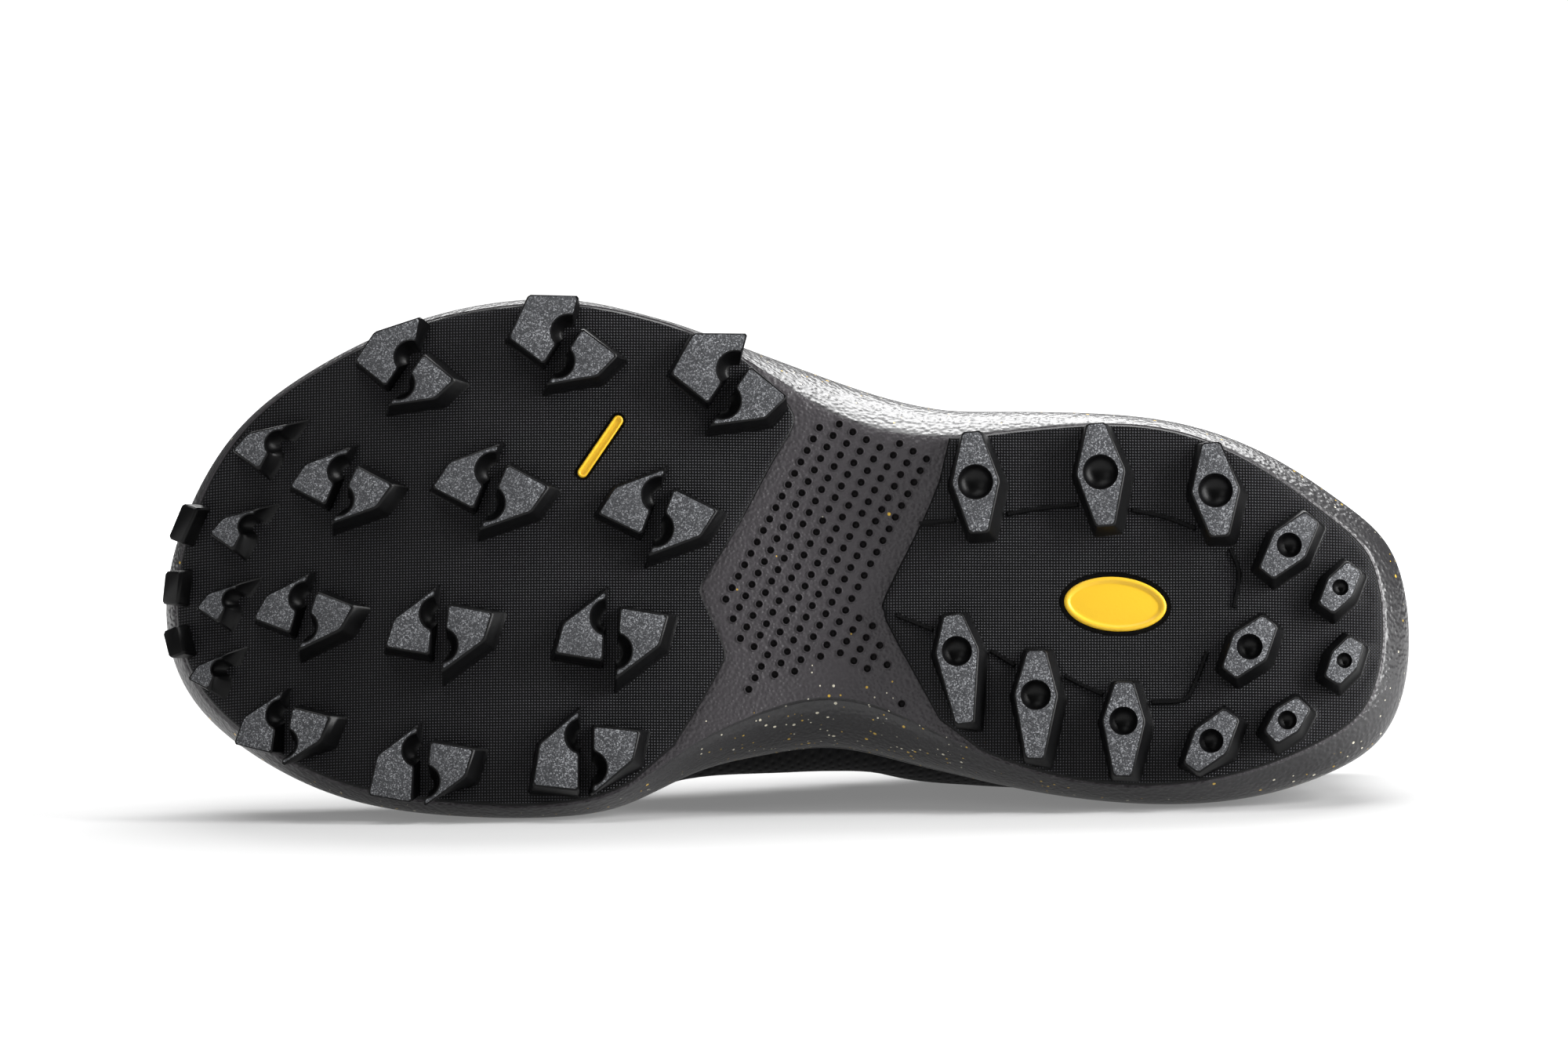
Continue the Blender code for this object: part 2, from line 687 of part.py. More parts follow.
def strip(points, width):
    """A loop of even width along an open line of shares, with pointed bends."""
    line = np.array([plan(*point) for point in points])
    run = np.diff(line, axis=0)
    run /= np.linalg.norm(run, axis=1)[:, None]
    side = np.stack([-run[:, 1], run[:, 0]], 1)
    first, last = side[:1], side[-1:]
    middle = (side[:-1] + side[1:]) / (1.0 + np.sum(side[:-1] * side[1:], axis=1))[:, None]
    offset = np.concatenate([first, middle, last]) * width / 2.0
    loop = np.concatenate([line - offset, (line + offset)[::-1]])
    return loop if signed_area(loop) > 0 else loop[::-1]


# Rubber

def wall_draft(loop):
    """How far each wall of a lug slopes out below its top: more towards the heel."""
    run = np.roll(loop, -1, axis=0) - loop
    run /= np.linalg.norm(run, axis=1)[:, None]
    facing = np.clip(run[:, 1] * RAMP_WAY[0] - run[:, 0] * RAMP_WAY[1], 0.0, 1.0)
    return LUG_DRAFT + LUG_RAMP * facing


class Stud:
    """A shape on the rubber: its top's loop, its foot's loop, and the heights of its top."""

    def __init__(self, loop, border, height=None, draft=None, dimple=0.0):
        """Without a height the top lies on the ground line. A negative height is a hollow."""
        down = down_normal(loop.mean(axis=0)) if height is None else np.array([0.0, 0.0, -1.0])
        rise = (rubber_face(loop) - ground_line(loop[:, 0])) * abs(down[2])
        if height is not None:
            rise = np.full(len(loop), height)
        below = loop - down[:2] * rise[:, None]
        draft = wall_draft(loop) if draft is None else draft
        self.foot = kept_inside(shrunk(below, -draft), border, LUG_EDGE)
        self.top = np.column_stack([loop, rubber_face(below) + down[2] * rise])
        self.dimple = dimple


def dimple_rings(stud):
    """Rings of a round hollow in a stud's top, the first in its face, and how they meet its corners.

    The second value gives, for each corner, the index in the ring of the point that faces it, and
    the third is the deepest point.
    """
    top = stud.top
    fit = np.column_stack([top[:, :2], np.ones(len(top))])
    slope = np.linalg.lstsq(fit, top[:, 2], rcond=None)[0]
    centre = (top[0, :2] + top[3, :2]) / 2.0
    ways = top[:, :2] - centre
    turns = np.unwrap(np.arctan2(ways[:, 1], ways[:, 0]))
    turns = np.append(turns, turns[0] + 2.0 * math.pi)
    angles, facing = [], []
    for start, end in zip(turns, turns[1:]):
        facing.append(len(angles))
        steps = max(1, round((end - start) / DIMPLE_STEP))
        angles.extend(np.linspace(start, end, steps, endpoint=False))
    circle = np.stack([np.cos(angles), np.sin(angles)], 1)
    deep = min(DIMPLE_DEPTH, stud.dimple)
    rings = []
    for dive in (0.0, DIMPLE_RING_DIVE):
        flat = centre + circle * stud.dimple * math.cos(dive)
        rings.append(np.column_stack([flat, flat @ slope[:2] + slope[2] + deep * math.sin(dive)]))
    pole = np.array([*centre, centre @ slope[:2] + slope[2] + deep])
    return rings, facing, pole


def pad_border(ends, toe_end, inner_edge):
    """The edge of a piece of rubber: along the foam's edge between two ends, then across the sole."""
    first, last = angle_of("lateral", ends[0]), angle_of("medial", ends[1])
    grid = np.arange(AROUND + 1) * 2.0 * math.pi / AROUND
    if toe_end:
        low, high = first + TURN_CLEARANCE, last - TURN_CLEARANCE
        turns = [first, *(t for t in grid if low < t < high), last]
    else:
        low, high = last + TURN_CLEARANCE - 2.0 * math.pi, first - TURN_CLEARANCE
        around = [*(grid[1:] - 2.0 * math.pi), *grid[1:]]
        turns = [last - 2.0 * math.pi, *(t for t in around if low < t < high), first]
    turns = np.array(turns)
    inset = station(SIDE_WALL, 2, turns) * SIDE_HEIGHT + RUBBER_MARGIN
    across = np.array([plan(*point) for point in inner_edge])
    along = inset_points(turns, inset)
    border = np.concatenate([along, across[::-1] if toe_end else across])
    return border if signed_area(border) > 0 else border[::-1]


def rung_points():
    """The points in the plan at which the foam's bottom is worked out."""
    turns = ring_angles()
    ring = inset_points(turns, station(SIDE_WALL, 2, turns) * SIDE_HEIGHT)
    lateral, medial = ring[1 : AROUND // 2], ring[: AROUND // 2 : -1]
    shares = np.arange(1, UNDERSIDE_RUNGS) / UNDERSIDE_RUNGS
    return np.concatenate([lateral + (medial - lateral) * share for share in shares])


def sheet_triangles(border, holes, clear):
    """Triangles of a flat sheet inside a border and outside the holes.

    Returns the points, the triangles, and for each loop the indices of its points.
    """
    loops = [border, *holes]
    spots = rung_points()
    spots = spots[nearest_inside(spots, border)[0] > clear]
    for hole in holes:
        spots = spots[nearest_inside(spots, hole)[0] < -clear]
    given = np.concatenate([*loops, spots]) * 1000.0
    ends = np.cumsum([0, *(len(loop) for loop in loops)])
    faces = [list(range(start, end)) for start, end in zip(ends, ends[1:])]
    flat = [Vector(point) for point in given]
    made, _, triangles, sources, _, owners = delaunay_2d_cdt(flat, [], faces, 1, 1e-4)
    where = {old: new for new, olds in enumerate(sources) for old in olds}
    kept = [tri for tri, owner in zip(triangles, owners) if list(owner) == [0]]
    rings = [[where[index] for index in face] for face in faces]
    return np.array([tuple(point) for point in made]) / 1000.0, kept, rings


def rubber_pad(name, border, studs):
    """A sheet of rubber under the foam, with its studs."""
    skin = Skin()
    flat, triangles, rings = sheet_triangles(border, [stud.foot for stud in studs], RUNG_CLEARANCE)
    used = sorted({index for triangle in triangles for index in triangle})
    face = dict(zip(used, skin.add(np.column_stack([flat, rubber_face(flat)])[used])))
    skin.faces.extend(tuple(face[index] for index in triangle) for triangle in triangles)
    outer = [face[index] for index in rings[0]]

    for stud, ring in zip(studs, rings[1:]):
        base = [face[index] for index in ring]
        top = skin.add(stud.top)
        skin.band(base, top)
        if not stud.dimple:
            skin.faces.append(tuple(top))
            continue
        hollows, facing, pole = dimple_rings(stud)
        mouth, floor = (skin.add(hollow) for hollow in hollows)
        for k, start in enumerate(facing):
            end = facing[k + 1] if k + 1 < len(facing) else len(mouth)
            arc = [mouth[index % len(mouth)] for index in range(end, start - 1, -1)]
            skin.faces.append((top[k], top[(k + 1) % len(top)], *arc))
        skin.band(mouth, floor)
        bottom = skin.add([pole])[0]
        for k in range(len(floor)):
            skin.faces.append((floor[k], floor[(k + 1) % len(floor)], bottom))

    flat, triangles, rings = sheet_triangles(border, [], RUNG_CLEARANCE)
    back = skin.add(np.column_stack([flat, underside(flat) - GAP]))
    skin.faces.extend(tuple(back[index] for index in triangle) for triangle in triangles)
    skin.band(outer, [back[index] for index in rings[0]])
    return skin.piece(name, "rubber")


def badge(name, loop):
    """A yellow inlay in the rubber, a gap clear of its seat all round."""
    inner = shrunk(loop, GAP)
    face = rubber_face(inner)
    skin = Skin()
    low = skin.add(np.column_stack([inner, face + SEAT_DEPTH - GAP]))
    top = skin.add(np.column_stack([shrunk(inner, BADGE_STAND / 2.0), face - BADGE_STAND]))
    skin.band(low, top)
    skin.faces.extend([tuple(low), tuple(top)])
    return skin.piece(name, "yellow_rubber")


def seat(loop, border):
    """The hollow in the rubber that a badge lies in."""
    return Stud(loop, border, height=-SEAT_DEPTH, draft=0.0)


def heel_badge_loop():
    """The edge of the heel badge's seat."""
    return placed(oval(BADGE_LENGTH * TREAD_SCALE, BADGE_WIDTH * TREAD_SCALE), *HEEL_BADGE_PLACE)


def forefoot_badge_loop():
    """The edge of the forefoot badge's seat."""
    return placed(round_bar(BAR_LENGTH * TREAD_SCALE, BAR_WIDTH * TREAD_SCALE), *FOREFOOT_BADGE_PLACE)


def forefoot_rubber():
    """The forefoot's rubber, with its split lugs, half lugs and toe cleats."""
    border = pad_border(FOREFOOT_PAD_ENDS, True, FOREFOOT_REAR_EDGE)
    studs = []
    for along, across, degrees, scale, lateral_out, front_out, medial_out in FOREFOOT_LUGS:
        half = split_lug_half(scale * TREAD_SCALE)
        reach = LUG_REACH * TREAD_SCALE
        for sign in (1, -1):
            loop = placed(sign * half, along, across, degrees)
            if sign > 0:
                loop[0, 1] += lateral_out * reach
                loop[-1, 1] += front_out * reach
                loop[-3:-1, 1] -= medial_out * reach
            draft = wall_draft(loop)
            draft[:-3] = GROOVE_DRAFT
            draft[1:-4] = bite_slope(scale * TREAD_SCALE)
            studs.append(Stud(loop, border, draft=draft))
    for *place, scale in FRONT_LUGS:
        loop = placed(split_lug_half(scale * TREAD_SCALE), *place)
        draft = wall_draft(loop)
        draft[1:-4] = bite_slope(scale * TREAD_SCALE)
        studs.append(Stud(loop, border, draft=draft))
    for *place, length in TOE_CLEATS:
        top = rectangle(length * TREAD_SCALE, CLEAT_WIDTH * TREAD_SCALE)
        studs.append(Stud(placed(top, *place), border, draft=LUG_DRAFT / 2))
    studs.append(seat(forefoot_badge_loop(), border))
    return rubber_pad("outsole_forefoot", border, studs)


def heel_rubber():
    """The heel's rubber, with its dimpled lugs and the raised line round its panel."""
    border = pad_border(HEEL_PAD_ENDS, False, HEEL_FRONT_EDGE)
    studs = []
    for *place, lateral, medial, width, dimple in HEEL_LUGS:
        top = hexagon(lateral * TREAD_SCALE, medial * TREAD_SCALE, width * TREAD_SCALE)
        studs.append(Stud(placed(top, *place), border, dimple=dimple * TREAD_SCALE))
    for run in PANEL_RIDGES:
        studs.append(Stud(strip(run, RIDGE_WIDTH / 2), border, RIDGE_HEIGHT, RIDGE_WIDTH / 4))
    studs.append(seat(heel_badge_loop(), border))
    return rubber_pad("outsole_heel", border, studs)


# Foam and insole

def side_ring(angles, level, depth=0.0):
    """A ring of the foam's side: level -1 is its bottom edge, 0 its widest line and 1 its rim."""
    edge = station(SIDE_WALL, 2, angles) * SIDE_HEIGHT
    rim = station(SIDE_WALL, 3, angles) * SIDE_HEIGHT
    inset = (edge if level < 0.0 else rim) * abs(level) ** SIDE_BULGE + depth
    spring = toe_spring(outline_points(angles)[:, 0])
    widest = spring + station(SIDE_WALL, 4, angles) * SIDE_HEIGHT
    top = spring + station(SIDE_WALL, 5, angles) * SIDE_HEIGHT
    end = underside(inset_points(angles, edge)) if level < 0.0 else top
    return np.column_stack([inset_points(angles, inset), widest + (end - widest) * abs(level)])


def cup_inset(angles, clearance):
    """How far a line inside the foam's cup lies inside the widest line."""
    return station(SIDE_WALL, 3, angles) * SIDE_HEIGHT + RIM_WIDTH + clearance


def ring_angles():
    """The angles of the pieces' rings."""
    return np.arange(AROUND) * 2.0 * math.pi / AROUND


def midsole():
    """The foam: its underside, bulging side with a groove round it, rim, and the cup for the foot."""
    angles = ring_angles()
    skin = Skin()
    rings = [
        skin.add(side_ring(angles, level, SIDE_GROOVE_DEPTH if sunk else 0.0))
        for level, sunk in SIDE_RINGS
    ]
    inner = inset_points(angles, cup_inset(angles, 0.0))
    rim_height = side_ring(angles, 1.0)[:, 2]
    rings.append(skin.add(np.column_stack([inner, rim_height])))
    rings.append(skin.add(np.column_stack([inner, footbed(inner)])))
    for first, second in zip(rings, rings[1:]):
        skin.band(first, second)
    skin.rungs(rings[0], UNDERSIDE_RUNGS, underside)
    skin.rungs(rings[-1], FOOTBED_RUNGS, footbed)
    return skin.piece("midsole", "foam")


def insole():
    """The sock liner on the foam's floor, inside the upper."""
    angles = ring_angles()
    edge = inset_points(angles, cup_inset(angles, GAP + WALL + GAP))
    skin = Skin()
    low = skin.add(np.column_stack([edge, footbed(edge) + GAP]))
    high = skin.add(np.column_stack([edge, footbed(edge) + GAP + INSOLE_THICKNESS]))
    skin.band(low, high)
    skin.rungs(low, FOOTBED_RUNGS, lambda spots: footbed(spots) + GAP)
    skin.rungs(high, FOOTBED_RUNGS, lambda spots: footbed(spots) + GAP + INSOLE_THICKNESS)
    return skin.piece("insole", "lining")


# Upper

def upper_points(angles, row):
    """The upper's outer face, without overlays: row -1 is in the cup, 0 at its rim, 1 the top edge."""
    angles = np.atleast_1d(angles)
    start_flat = inset_points(angles, cup_inset(angles, GAP))
    start = np.column_stack([start_flat, side_ring(angles, 1.0)[:, 2]])
    if row < 0.0:
        low = footbed(start_flat) + GAP
        start[:, 2] += (start[:, 2] - low) * row
        return start
    top = np.column_stack([
        SHOE_LENGTH * station(RIBS, 2, angles),
        HEEL_WIDTH * station(RIBS, 3, angles),
        INSTEP_HEIGHT * station(RIBS, 4, angles),
    ])
    lean, rise, reach, drop = (INSTEP_HEIGHT * station(RIBS, k, angles) for k in (5, 6, 7, 8))
    out = outline_normals(angles)
    way = start[:, :2] - top[:, :2] + out * RIB_TURN_OUT
    way /= np.linalg.norm(way, axis=1)[:, None]
    lower = start + np.column_stack([out * lean[:, None], rise])
    upper = top + np.column_stack([way * reach[:, None], -drop])
    t = row
    return (
        start * (1 - t) ** 3 + lower * 3 * t * (1 - t) ** 2 + upper * 3 * t * t * (1 - t) + top * t**3
    )


def upper_normals(angles, row):
    """Unit vectors out of the upper's outer face."""
    angles = np.atleast_1d(angles)
    small = 0.01
    around = upper_points(angles + small, row) - upper_points(angles - small, row)
    up = upper_points(angles, min(1.0, row + small)) - upper_points(angles, max(-1.0, row - small))
    normal = np.cross(up, around)
    return normal / np.linalg.norm(normal, axis=1)[:, None]


def along_of(angles):
    """The share of the length at an angle."""
    return (1.0 - np.cos(angles)) / 2.0


def overlay_height(angles, row):
    """How far the overlays stand proud of the upper's outer face."""
    along = along_of(np.atleast_1d(angles))
    height = np.zeros(len(along))
    band = "lower" if 0.0 < row < BAND_TOP else "upper" if row > EYESTAY_FOOT else ""
    for name, start, end in OVERLAYS:
        if name == band:
            height[(along >= start) & (along <= end)] = OVERLAY
    return height


def wall_thickness(angles, row):
    """The upper's thickness under its outer face: more where the collar is padded."""
    along = along_of(np.atleast_1d(angles))
    start, end = PADDING_ROWS
    padded = ease((PADDED_TO - along) / PADDING_FADE) * ease((row - start) / (end - start))
    thinner = PADDING_TOP_LOSS * ease((row - PADDING_TOP_ROW) / (1.0 - PADDING_TOP_ROW))
    return WALL + COLLAR_PADDING * padded * (1.0 - thinner)


def upper_skin():
    """The outer and inner faces of the upper, joined at the top edge and at the bottom."""
    angles = ring_angles()
    skin = Skin()
    outer, inner = [], []
    for row in UPPER_ROWS:
        face, normal = upper_points(angles, row), upper_normals(angles, row)
        if row <= 0.0:
            normal = np.column_stack([outline_normals(angles), np.zeros(AROUND)])
        outer.append(skin.add(face + normal * overlay_height(angles, row)[:, None]))
        inner.append(skin.add(face - normal * wall_thickness(angles, row)[:, None]))
    for side in (outer, inner):
        for low, high in zip(side, side[1:]):
            skin.band(low, high)
    skin.band(outer[0], inner[0])
    skin.band(outer[-1], inner[-1])
    return skin


def eyelet(side, along):
    """An eyelet's place on the upper's face, the direction out of it, and the edge point beside it."""
    angle = np.array([angle_of(side, along)])
    edge = upper_points(angle, 1.0)[0]
    low, high = 0.5, 1.0
    for _ in range(EYELET_SEARCH_STEPS):
        middle = (low + high) / 2.0
        if np.linalg.norm(upper_points(angle, middle)[0] - edge) > EYELET_SETBACK:
            low = middle
        else:
            high = middle
    return upper_points(angle, low)[0], upper_normals(angle, low)[0], edge


def eyelet_rows():
    """The shares of the length at which the pairs of eyelets lie, from the ankle to the toe."""
    return np.linspace(EYELET_FIRST, EYELET_LAST, EYELET_PAIRS)


def upper():
    """The upper: one hollow wall, open at the collar, the throat and underneath, with eyelets."""
    body = upper_skin().piece("upper", "mesh_fabric")
    punches = []
    for side in ("lateral", "medial"):
        for along in eyelet_rows():
            centre, out, _ = eyelet(side, along)
            shape = bmesh.new()
            turn = Vector((0, 0, 1)).rotation_difference(Vector(out)).to_matrix().to_4x4()
            bmesh.ops.create_cone(
                shape, cap_ends=True, segments=EYELET_SIDES, radius1=EYELET_RADIUS,
                radius2=EYELET_RADIUS, depth=4.0 * (WALL + OVERLAY),
                matrix=Matrix.Translation(Vector(centre)) @ turn,
            )
            mesh = bpy.data.meshes.new("punch")
            shape.to_mesh(mesh)
            shape.free()
            punch = bpy.data.objects.new("punch", mesh)
            bpy.context.scene.collection.objects.link(punch)
            punches.append(punch)
    return combine(body, punches, "DIFFERENCE")


# Tongue and lace

def crown(left, right, up, share):
    """A point of an arch between two edges, at a share of the way across."""
    return left + (right - left) * share + up * TONGUE_CROWN * 4.0 * share * (1.0 - share)


def tongue_row(along, lap):
    """The tongue's outer face across one station: under both eyestays, with an arch between them."""
    points, normals = [], []
    for side in ("lateral", "medial"):
        angle = np.array([angle_of(side, along)])
        for row in (1.0 - lap, 1.0 - lap / 2.0, 1.0):
            normal = upper_normals(angle, row)[0]
            points.append(upper_points(angle, row)[0] - normal * (WALL + TONGUE_CLEARANCE))
            normals.append(normal)
    up = normals[2] + normals[5]
    up /= np.linalg.norm(up)
    arch = [crown(points[2], points[5], up, share) for share in (0.25, 0.5, 0.75)]
    slopes = [normals[2] + (up - normals[2]) * 0.5, up, normals[5] + (up - normals[5]) * 0.5]
    outer = [*points[:3], *arch, *points[:2:-1]]
    out = np.array([*normals[:3], *slopes, *normals[:2:-1]])
    return np.array(outer), out / np.linalg.norm(out, axis=1)[:, None]


def tongue():
    """The tongue: a padded strip under the eyestays, with a free end above the top eyelets."""
    depth = TONGUE_THICKNESS * np.array(TONGUE_PROFILE)
    shares = along_of(ring_angles()[: AROUND // 2])
    shares = shares[(shares > TONGUE_FROM) & (shares < TONGUE_TO)][::-1]
    rows = []
    for along, lap in zip(shares, np.linspace(TONGUE_END_LAP, TONGUE_LAP, len(shares))):
        outer, out = tongue_row(along, lap)
        rows.append((outer, outer - out * depth[:, None]))
    last = rows[-1]
    middle = (last[0] + last[1]).mean(axis=0) / 2.0
    for back, lift, width in TONGUE_END:
        shift = np.array([-TONGUE_END_BACK * back, 0.0, TONGUE_END_RISE * lift])
        narrow = np.array([1.0, width, 1.0])
        rows.append(tuple((face - middle) * narrow + middle + shift for face in last))
    skin = Skin()
    loops = [skin.add([*outer, *inner[::-1]]) for outer, inner in rows]
    for low, high in zip(loops, loops[1:]):
        skin.band(low, high)
    skin.faces.extend([tuple(loops[0]), tuple(loops[-1])])
    return skin.piece("tongue", "mesh_fabric")


def ribbon(name, path, ups):
    """A flat cord along a path, with its face turned along the ups."""
    path, ups = np.array(path), np.array(ups)
    run = np.gradient(path, axis=0)
    run /= np.linalg.norm(run, axis=1)[:, None]
    side = np.cross(run, ups)
    side /= np.linalg.norm(side, axis=1)[:, None]
    up = np.cross(side, run)
    half, thick = LACE_WIDTH / 2.0, LACE_THICKNESS / 2.0
    corners = ((half, -thick), (half, thick), (-half, thick), (-half, -thick))
    skin = Skin()
    loops = [skin.add([p + s * a + u * b for a, b in corners]) for p, s, u in zip(path, side, up)]
    for low, high in zip(loops, loops[1:]):
        skin.band(low, high)
    skin.faces.extend([tuple(loops[0]), tuple(loops[-1])])
    return skin.piece(name, "lace_cord")


def lace_run(first, second, lift):
    """The path of a lace from one eyelet over the throat to another, and the direction of its face."""
    clear = OVERLAY + GAP + LACE_THICKNESS / 2.0 + lift
    (start, out, edge), (end, far_out, far_edge) = first, second
    up = out + far_out
    up /= np.linalg.norm(up)
    knots = [
        start + out * clear,
        (start + edge) / 2.0 + (out + up) / 2.0 * (clear + GAP),
        edge + up * (clear + 3.0 * GAP),
        crown(edge, far_edge, up, 0.5) + up * (clear + GAP),
        far_edge + up * (clear + 3.0 * GAP),
        (end + far_edge) / 2.0 + (far_out + up) / 2.0 * (clear + GAP),
        end + far_out * clear,
    ]
    ups = [out, out + up, up, up, up, far_out + up, far_out]
    return knots, [way / np.linalg.norm(way) for way in ups]


def lace():
    """The lace's crossings over the throat, joined at the eyelets. Its ends stop at the top pair."""
    places = [(eyelet("lateral", along), eyelet("medial", along)) for along in eyelet_rows()]
    runs = [lace_run(places[-1][0], places[-1][1], 0.0)]
    for (left, right), (next_left, next_right) in zip(places, places[1:]):
        runs.append(lace_run(left, next_right, 0.0))
        runs.append(lace_run(right, next_left, LACE_THICKNESS / 2.0))
    first, *others = [ribbon("lace_crossings", *run) for run in runs]
    return combine(first, others, "UNION")


# The shoe on its side

# How squarely a face of the hull must face the medial side for the shoe to lie on it
MEDIAL_FACING = 0.8


def volume_and_centre(piece):
    """A closed piece's volume and centre of volume."""
    shape = bmesh.new()
    shape.from_mesh(piece.data)
    bmesh.ops.triangulate(shape, faces=shape.faces)
    volume, moment = 0.0, Vector((0.0, 0.0, 0.0))
    for face in shape.faces:
        a, b, c = (vertex.co for vertex in face.verts)
        share = a.dot(b.cross(c)) / 6.0
        volume += share
        moment += (a + b + c) * (share / 4.0)
    shape.free()
    return volume, moment / volume


def resting_turn(pieces):
    """The turn that lays the shoe on the medial side of its hull, over which its weight falls."""
    total, middle = 0.0, Vector((0.0, 0.0, 0.0))
    hull = bmesh.new()
    for piece in pieces:
        volume, centre = volume_and_centre(piece)
        mass = volume * DENSITIES.get(piece.data.materials[0].name, TEXTILE_DENSITY)
        total += mass
        middle += centre * mass
        for vertex in piece.data.vertices:
            hull.verts.new(vertex.co)
    middle /= total
    bmesh.ops.convex_hull(hull, input=hull.verts)
    best, down = None, Vector((0.0, -1.0, 0.0))
    hull.normal_update()
    for face in hull.faces:
        normal = face.normal
        if normal.y > -MEDIAL_FACING:
            continue
        foot = middle + normal * normal.dot(face.verts[0].co - middle)
        corners = [vertex.co for vertex in face.verts]
        sides = [
            (after - before).cross(foot - before).dot(normal)
            for before, after in zip(corners, corners[1:] + corners[:1])
        ]
        score = min(sides)
        if best is None or score > best:
            best, down = score, normal.copy()
    hull.free()
    up = -down
    across = Vector((-1.0, 0.0, 0.0))
    across -= up * across.dot(up)
    across.normalize()
    return Matrix((across, up.cross(across), up)).to_4x4()


def lay_down(pieces):
    """Hangs the pieces on an empty that lays the shoe on its side, on the ground at the origin."""
    turn = resting_turn(pieces)
    corners = np.array([turn @ vertex.co for piece in pieces for vertex in piece.data.vertices])
    low, high = corners.min(axis=0), corners.max(axis=0)
    middle = Vector(((low[0] + high[0]) / 2.0, (low[1] + high[1]) / 2.0, low[2]))
    shoe = bpy.data.objects.new("shoe", None)
    bpy.context.scene.collection.objects.link(shoe)
    shoe.matrix_world = Matrix.Translation(-middle) @ turn
    for piece in pieces:
        piece.parent = shoe


def build_shoe():
    """Clears the scene and makes the whole shoe."""
    for item in list(bpy.data.objects):
        bpy.data.objects.remove(item)
    pieces = [
        forefoot_rubber(),
        heel_rubber(),
        badge("forefoot_badge", forefoot_badge_loop()),
        badge("heel_badge", heel_badge_loop()),
        midsole(),
        insole(),
        upper(),
        tongue(),
        lace(),
    ]
    lay_down(pieces)


build_shoe()
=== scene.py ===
"""The looks of a left trail running shoe that lies on its medial side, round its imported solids.

Every piece is worked out upright, in the shoe's own axes: x runs from the back of the heel to the
toe, y is positive on the lateral side and z is the height above the ground under the lugs. A place
round the shoe is an angle, 0 at the back of the heel and pi at the toe. REST then lays each piece
on its side, where the solids lie. Lengths are in metres.
"""

import logging
import math
from dataclasses import dataclass
from enum import Enum
from functools import lru_cache
from typing import Any, Callable, Optional, Sequence, Union

import bmesh
import bpy
import numpy as np
from mathutils import Matrix, Vector
from mathutils.geometry import delaunay_2d_cdt
from numpy import column_stack
from numpy.linalg import norm


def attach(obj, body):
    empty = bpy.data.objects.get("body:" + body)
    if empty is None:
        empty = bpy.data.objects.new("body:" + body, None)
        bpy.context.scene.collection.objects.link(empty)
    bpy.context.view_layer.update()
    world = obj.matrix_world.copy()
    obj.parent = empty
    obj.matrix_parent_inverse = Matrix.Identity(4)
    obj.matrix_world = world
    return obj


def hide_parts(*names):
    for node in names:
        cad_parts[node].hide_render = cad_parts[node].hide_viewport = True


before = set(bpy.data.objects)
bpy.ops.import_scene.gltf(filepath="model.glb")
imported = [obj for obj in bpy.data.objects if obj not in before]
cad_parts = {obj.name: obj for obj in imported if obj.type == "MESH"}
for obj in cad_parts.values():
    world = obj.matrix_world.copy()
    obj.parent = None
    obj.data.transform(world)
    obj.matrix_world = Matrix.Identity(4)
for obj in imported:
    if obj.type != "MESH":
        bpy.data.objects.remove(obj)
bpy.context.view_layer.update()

log = logging.getLogger("trail_shoe")

Array = np.ndarray
Material = bpy.types.Material
Thing = bpy.types.Object
Tree = bpy.types.NodeTree
Node = bpy.types.Node

# Where the shoe lies: its own axes, turned onto the medial side, in the row's frame
REST = Matrix((
    (-0.999862731, 0.016183155, -0.003557150, 0.150602102),
    (-0.000000001, 0.214680746, 0.976684272, -0.056755073),
    (0.016569484, 0.976550221, -0.214651272, 0.049358677),
    (0.0, 0.0, 0.0, 1.0),
))
# The photograph's line of sight and its upward way, in the shoe's own axes, and what it is aimed at
SIGHT = Vector((0.0, 0.139, 0.990))
UPWARD = Vector((0.0, 0.990, -0.139))
AIM = Vector((0.1506, 0.0197, 0.0050))
CAMERA_DISTANCE = 5.00
FIELD_WIDTH = 0.3764

# In the tables round the shoe a negative share of the length is on the medial side.
# The widest line of the sole, seen from above: share of the length, share of the width there
OUTLINE = (
    (0.000, -0.059), (0.009, 0.130), (0.055, 0.293), (0.119, 0.419), (0.195, 0.498),
    (0.277, 0.521), (0.357, 0.529), (0.452, 0.541), (0.567, 0.550), (0.656, 0.599),
    (0.728, 0.601), (0.800, 0.565), (0.878, 0.483), (0.945, 0.362), (0.983, 0.213),
    (1.000, 0.032), (-0.979, -0.144), (-0.930, -0.262), (-0.850, -0.361), (-0.753, -0.401),
    (-0.678, -0.401), (-0.627, -0.374), (-0.575, -0.312), (-0.517, -0.285), (-0.460, -0.293),
    (-0.390, -0.380), (-0.327, -0.446), (-0.195, -0.504), (-0.119, -0.478), (-0.061, -0.411),
    (-0.016, -0.290),
)
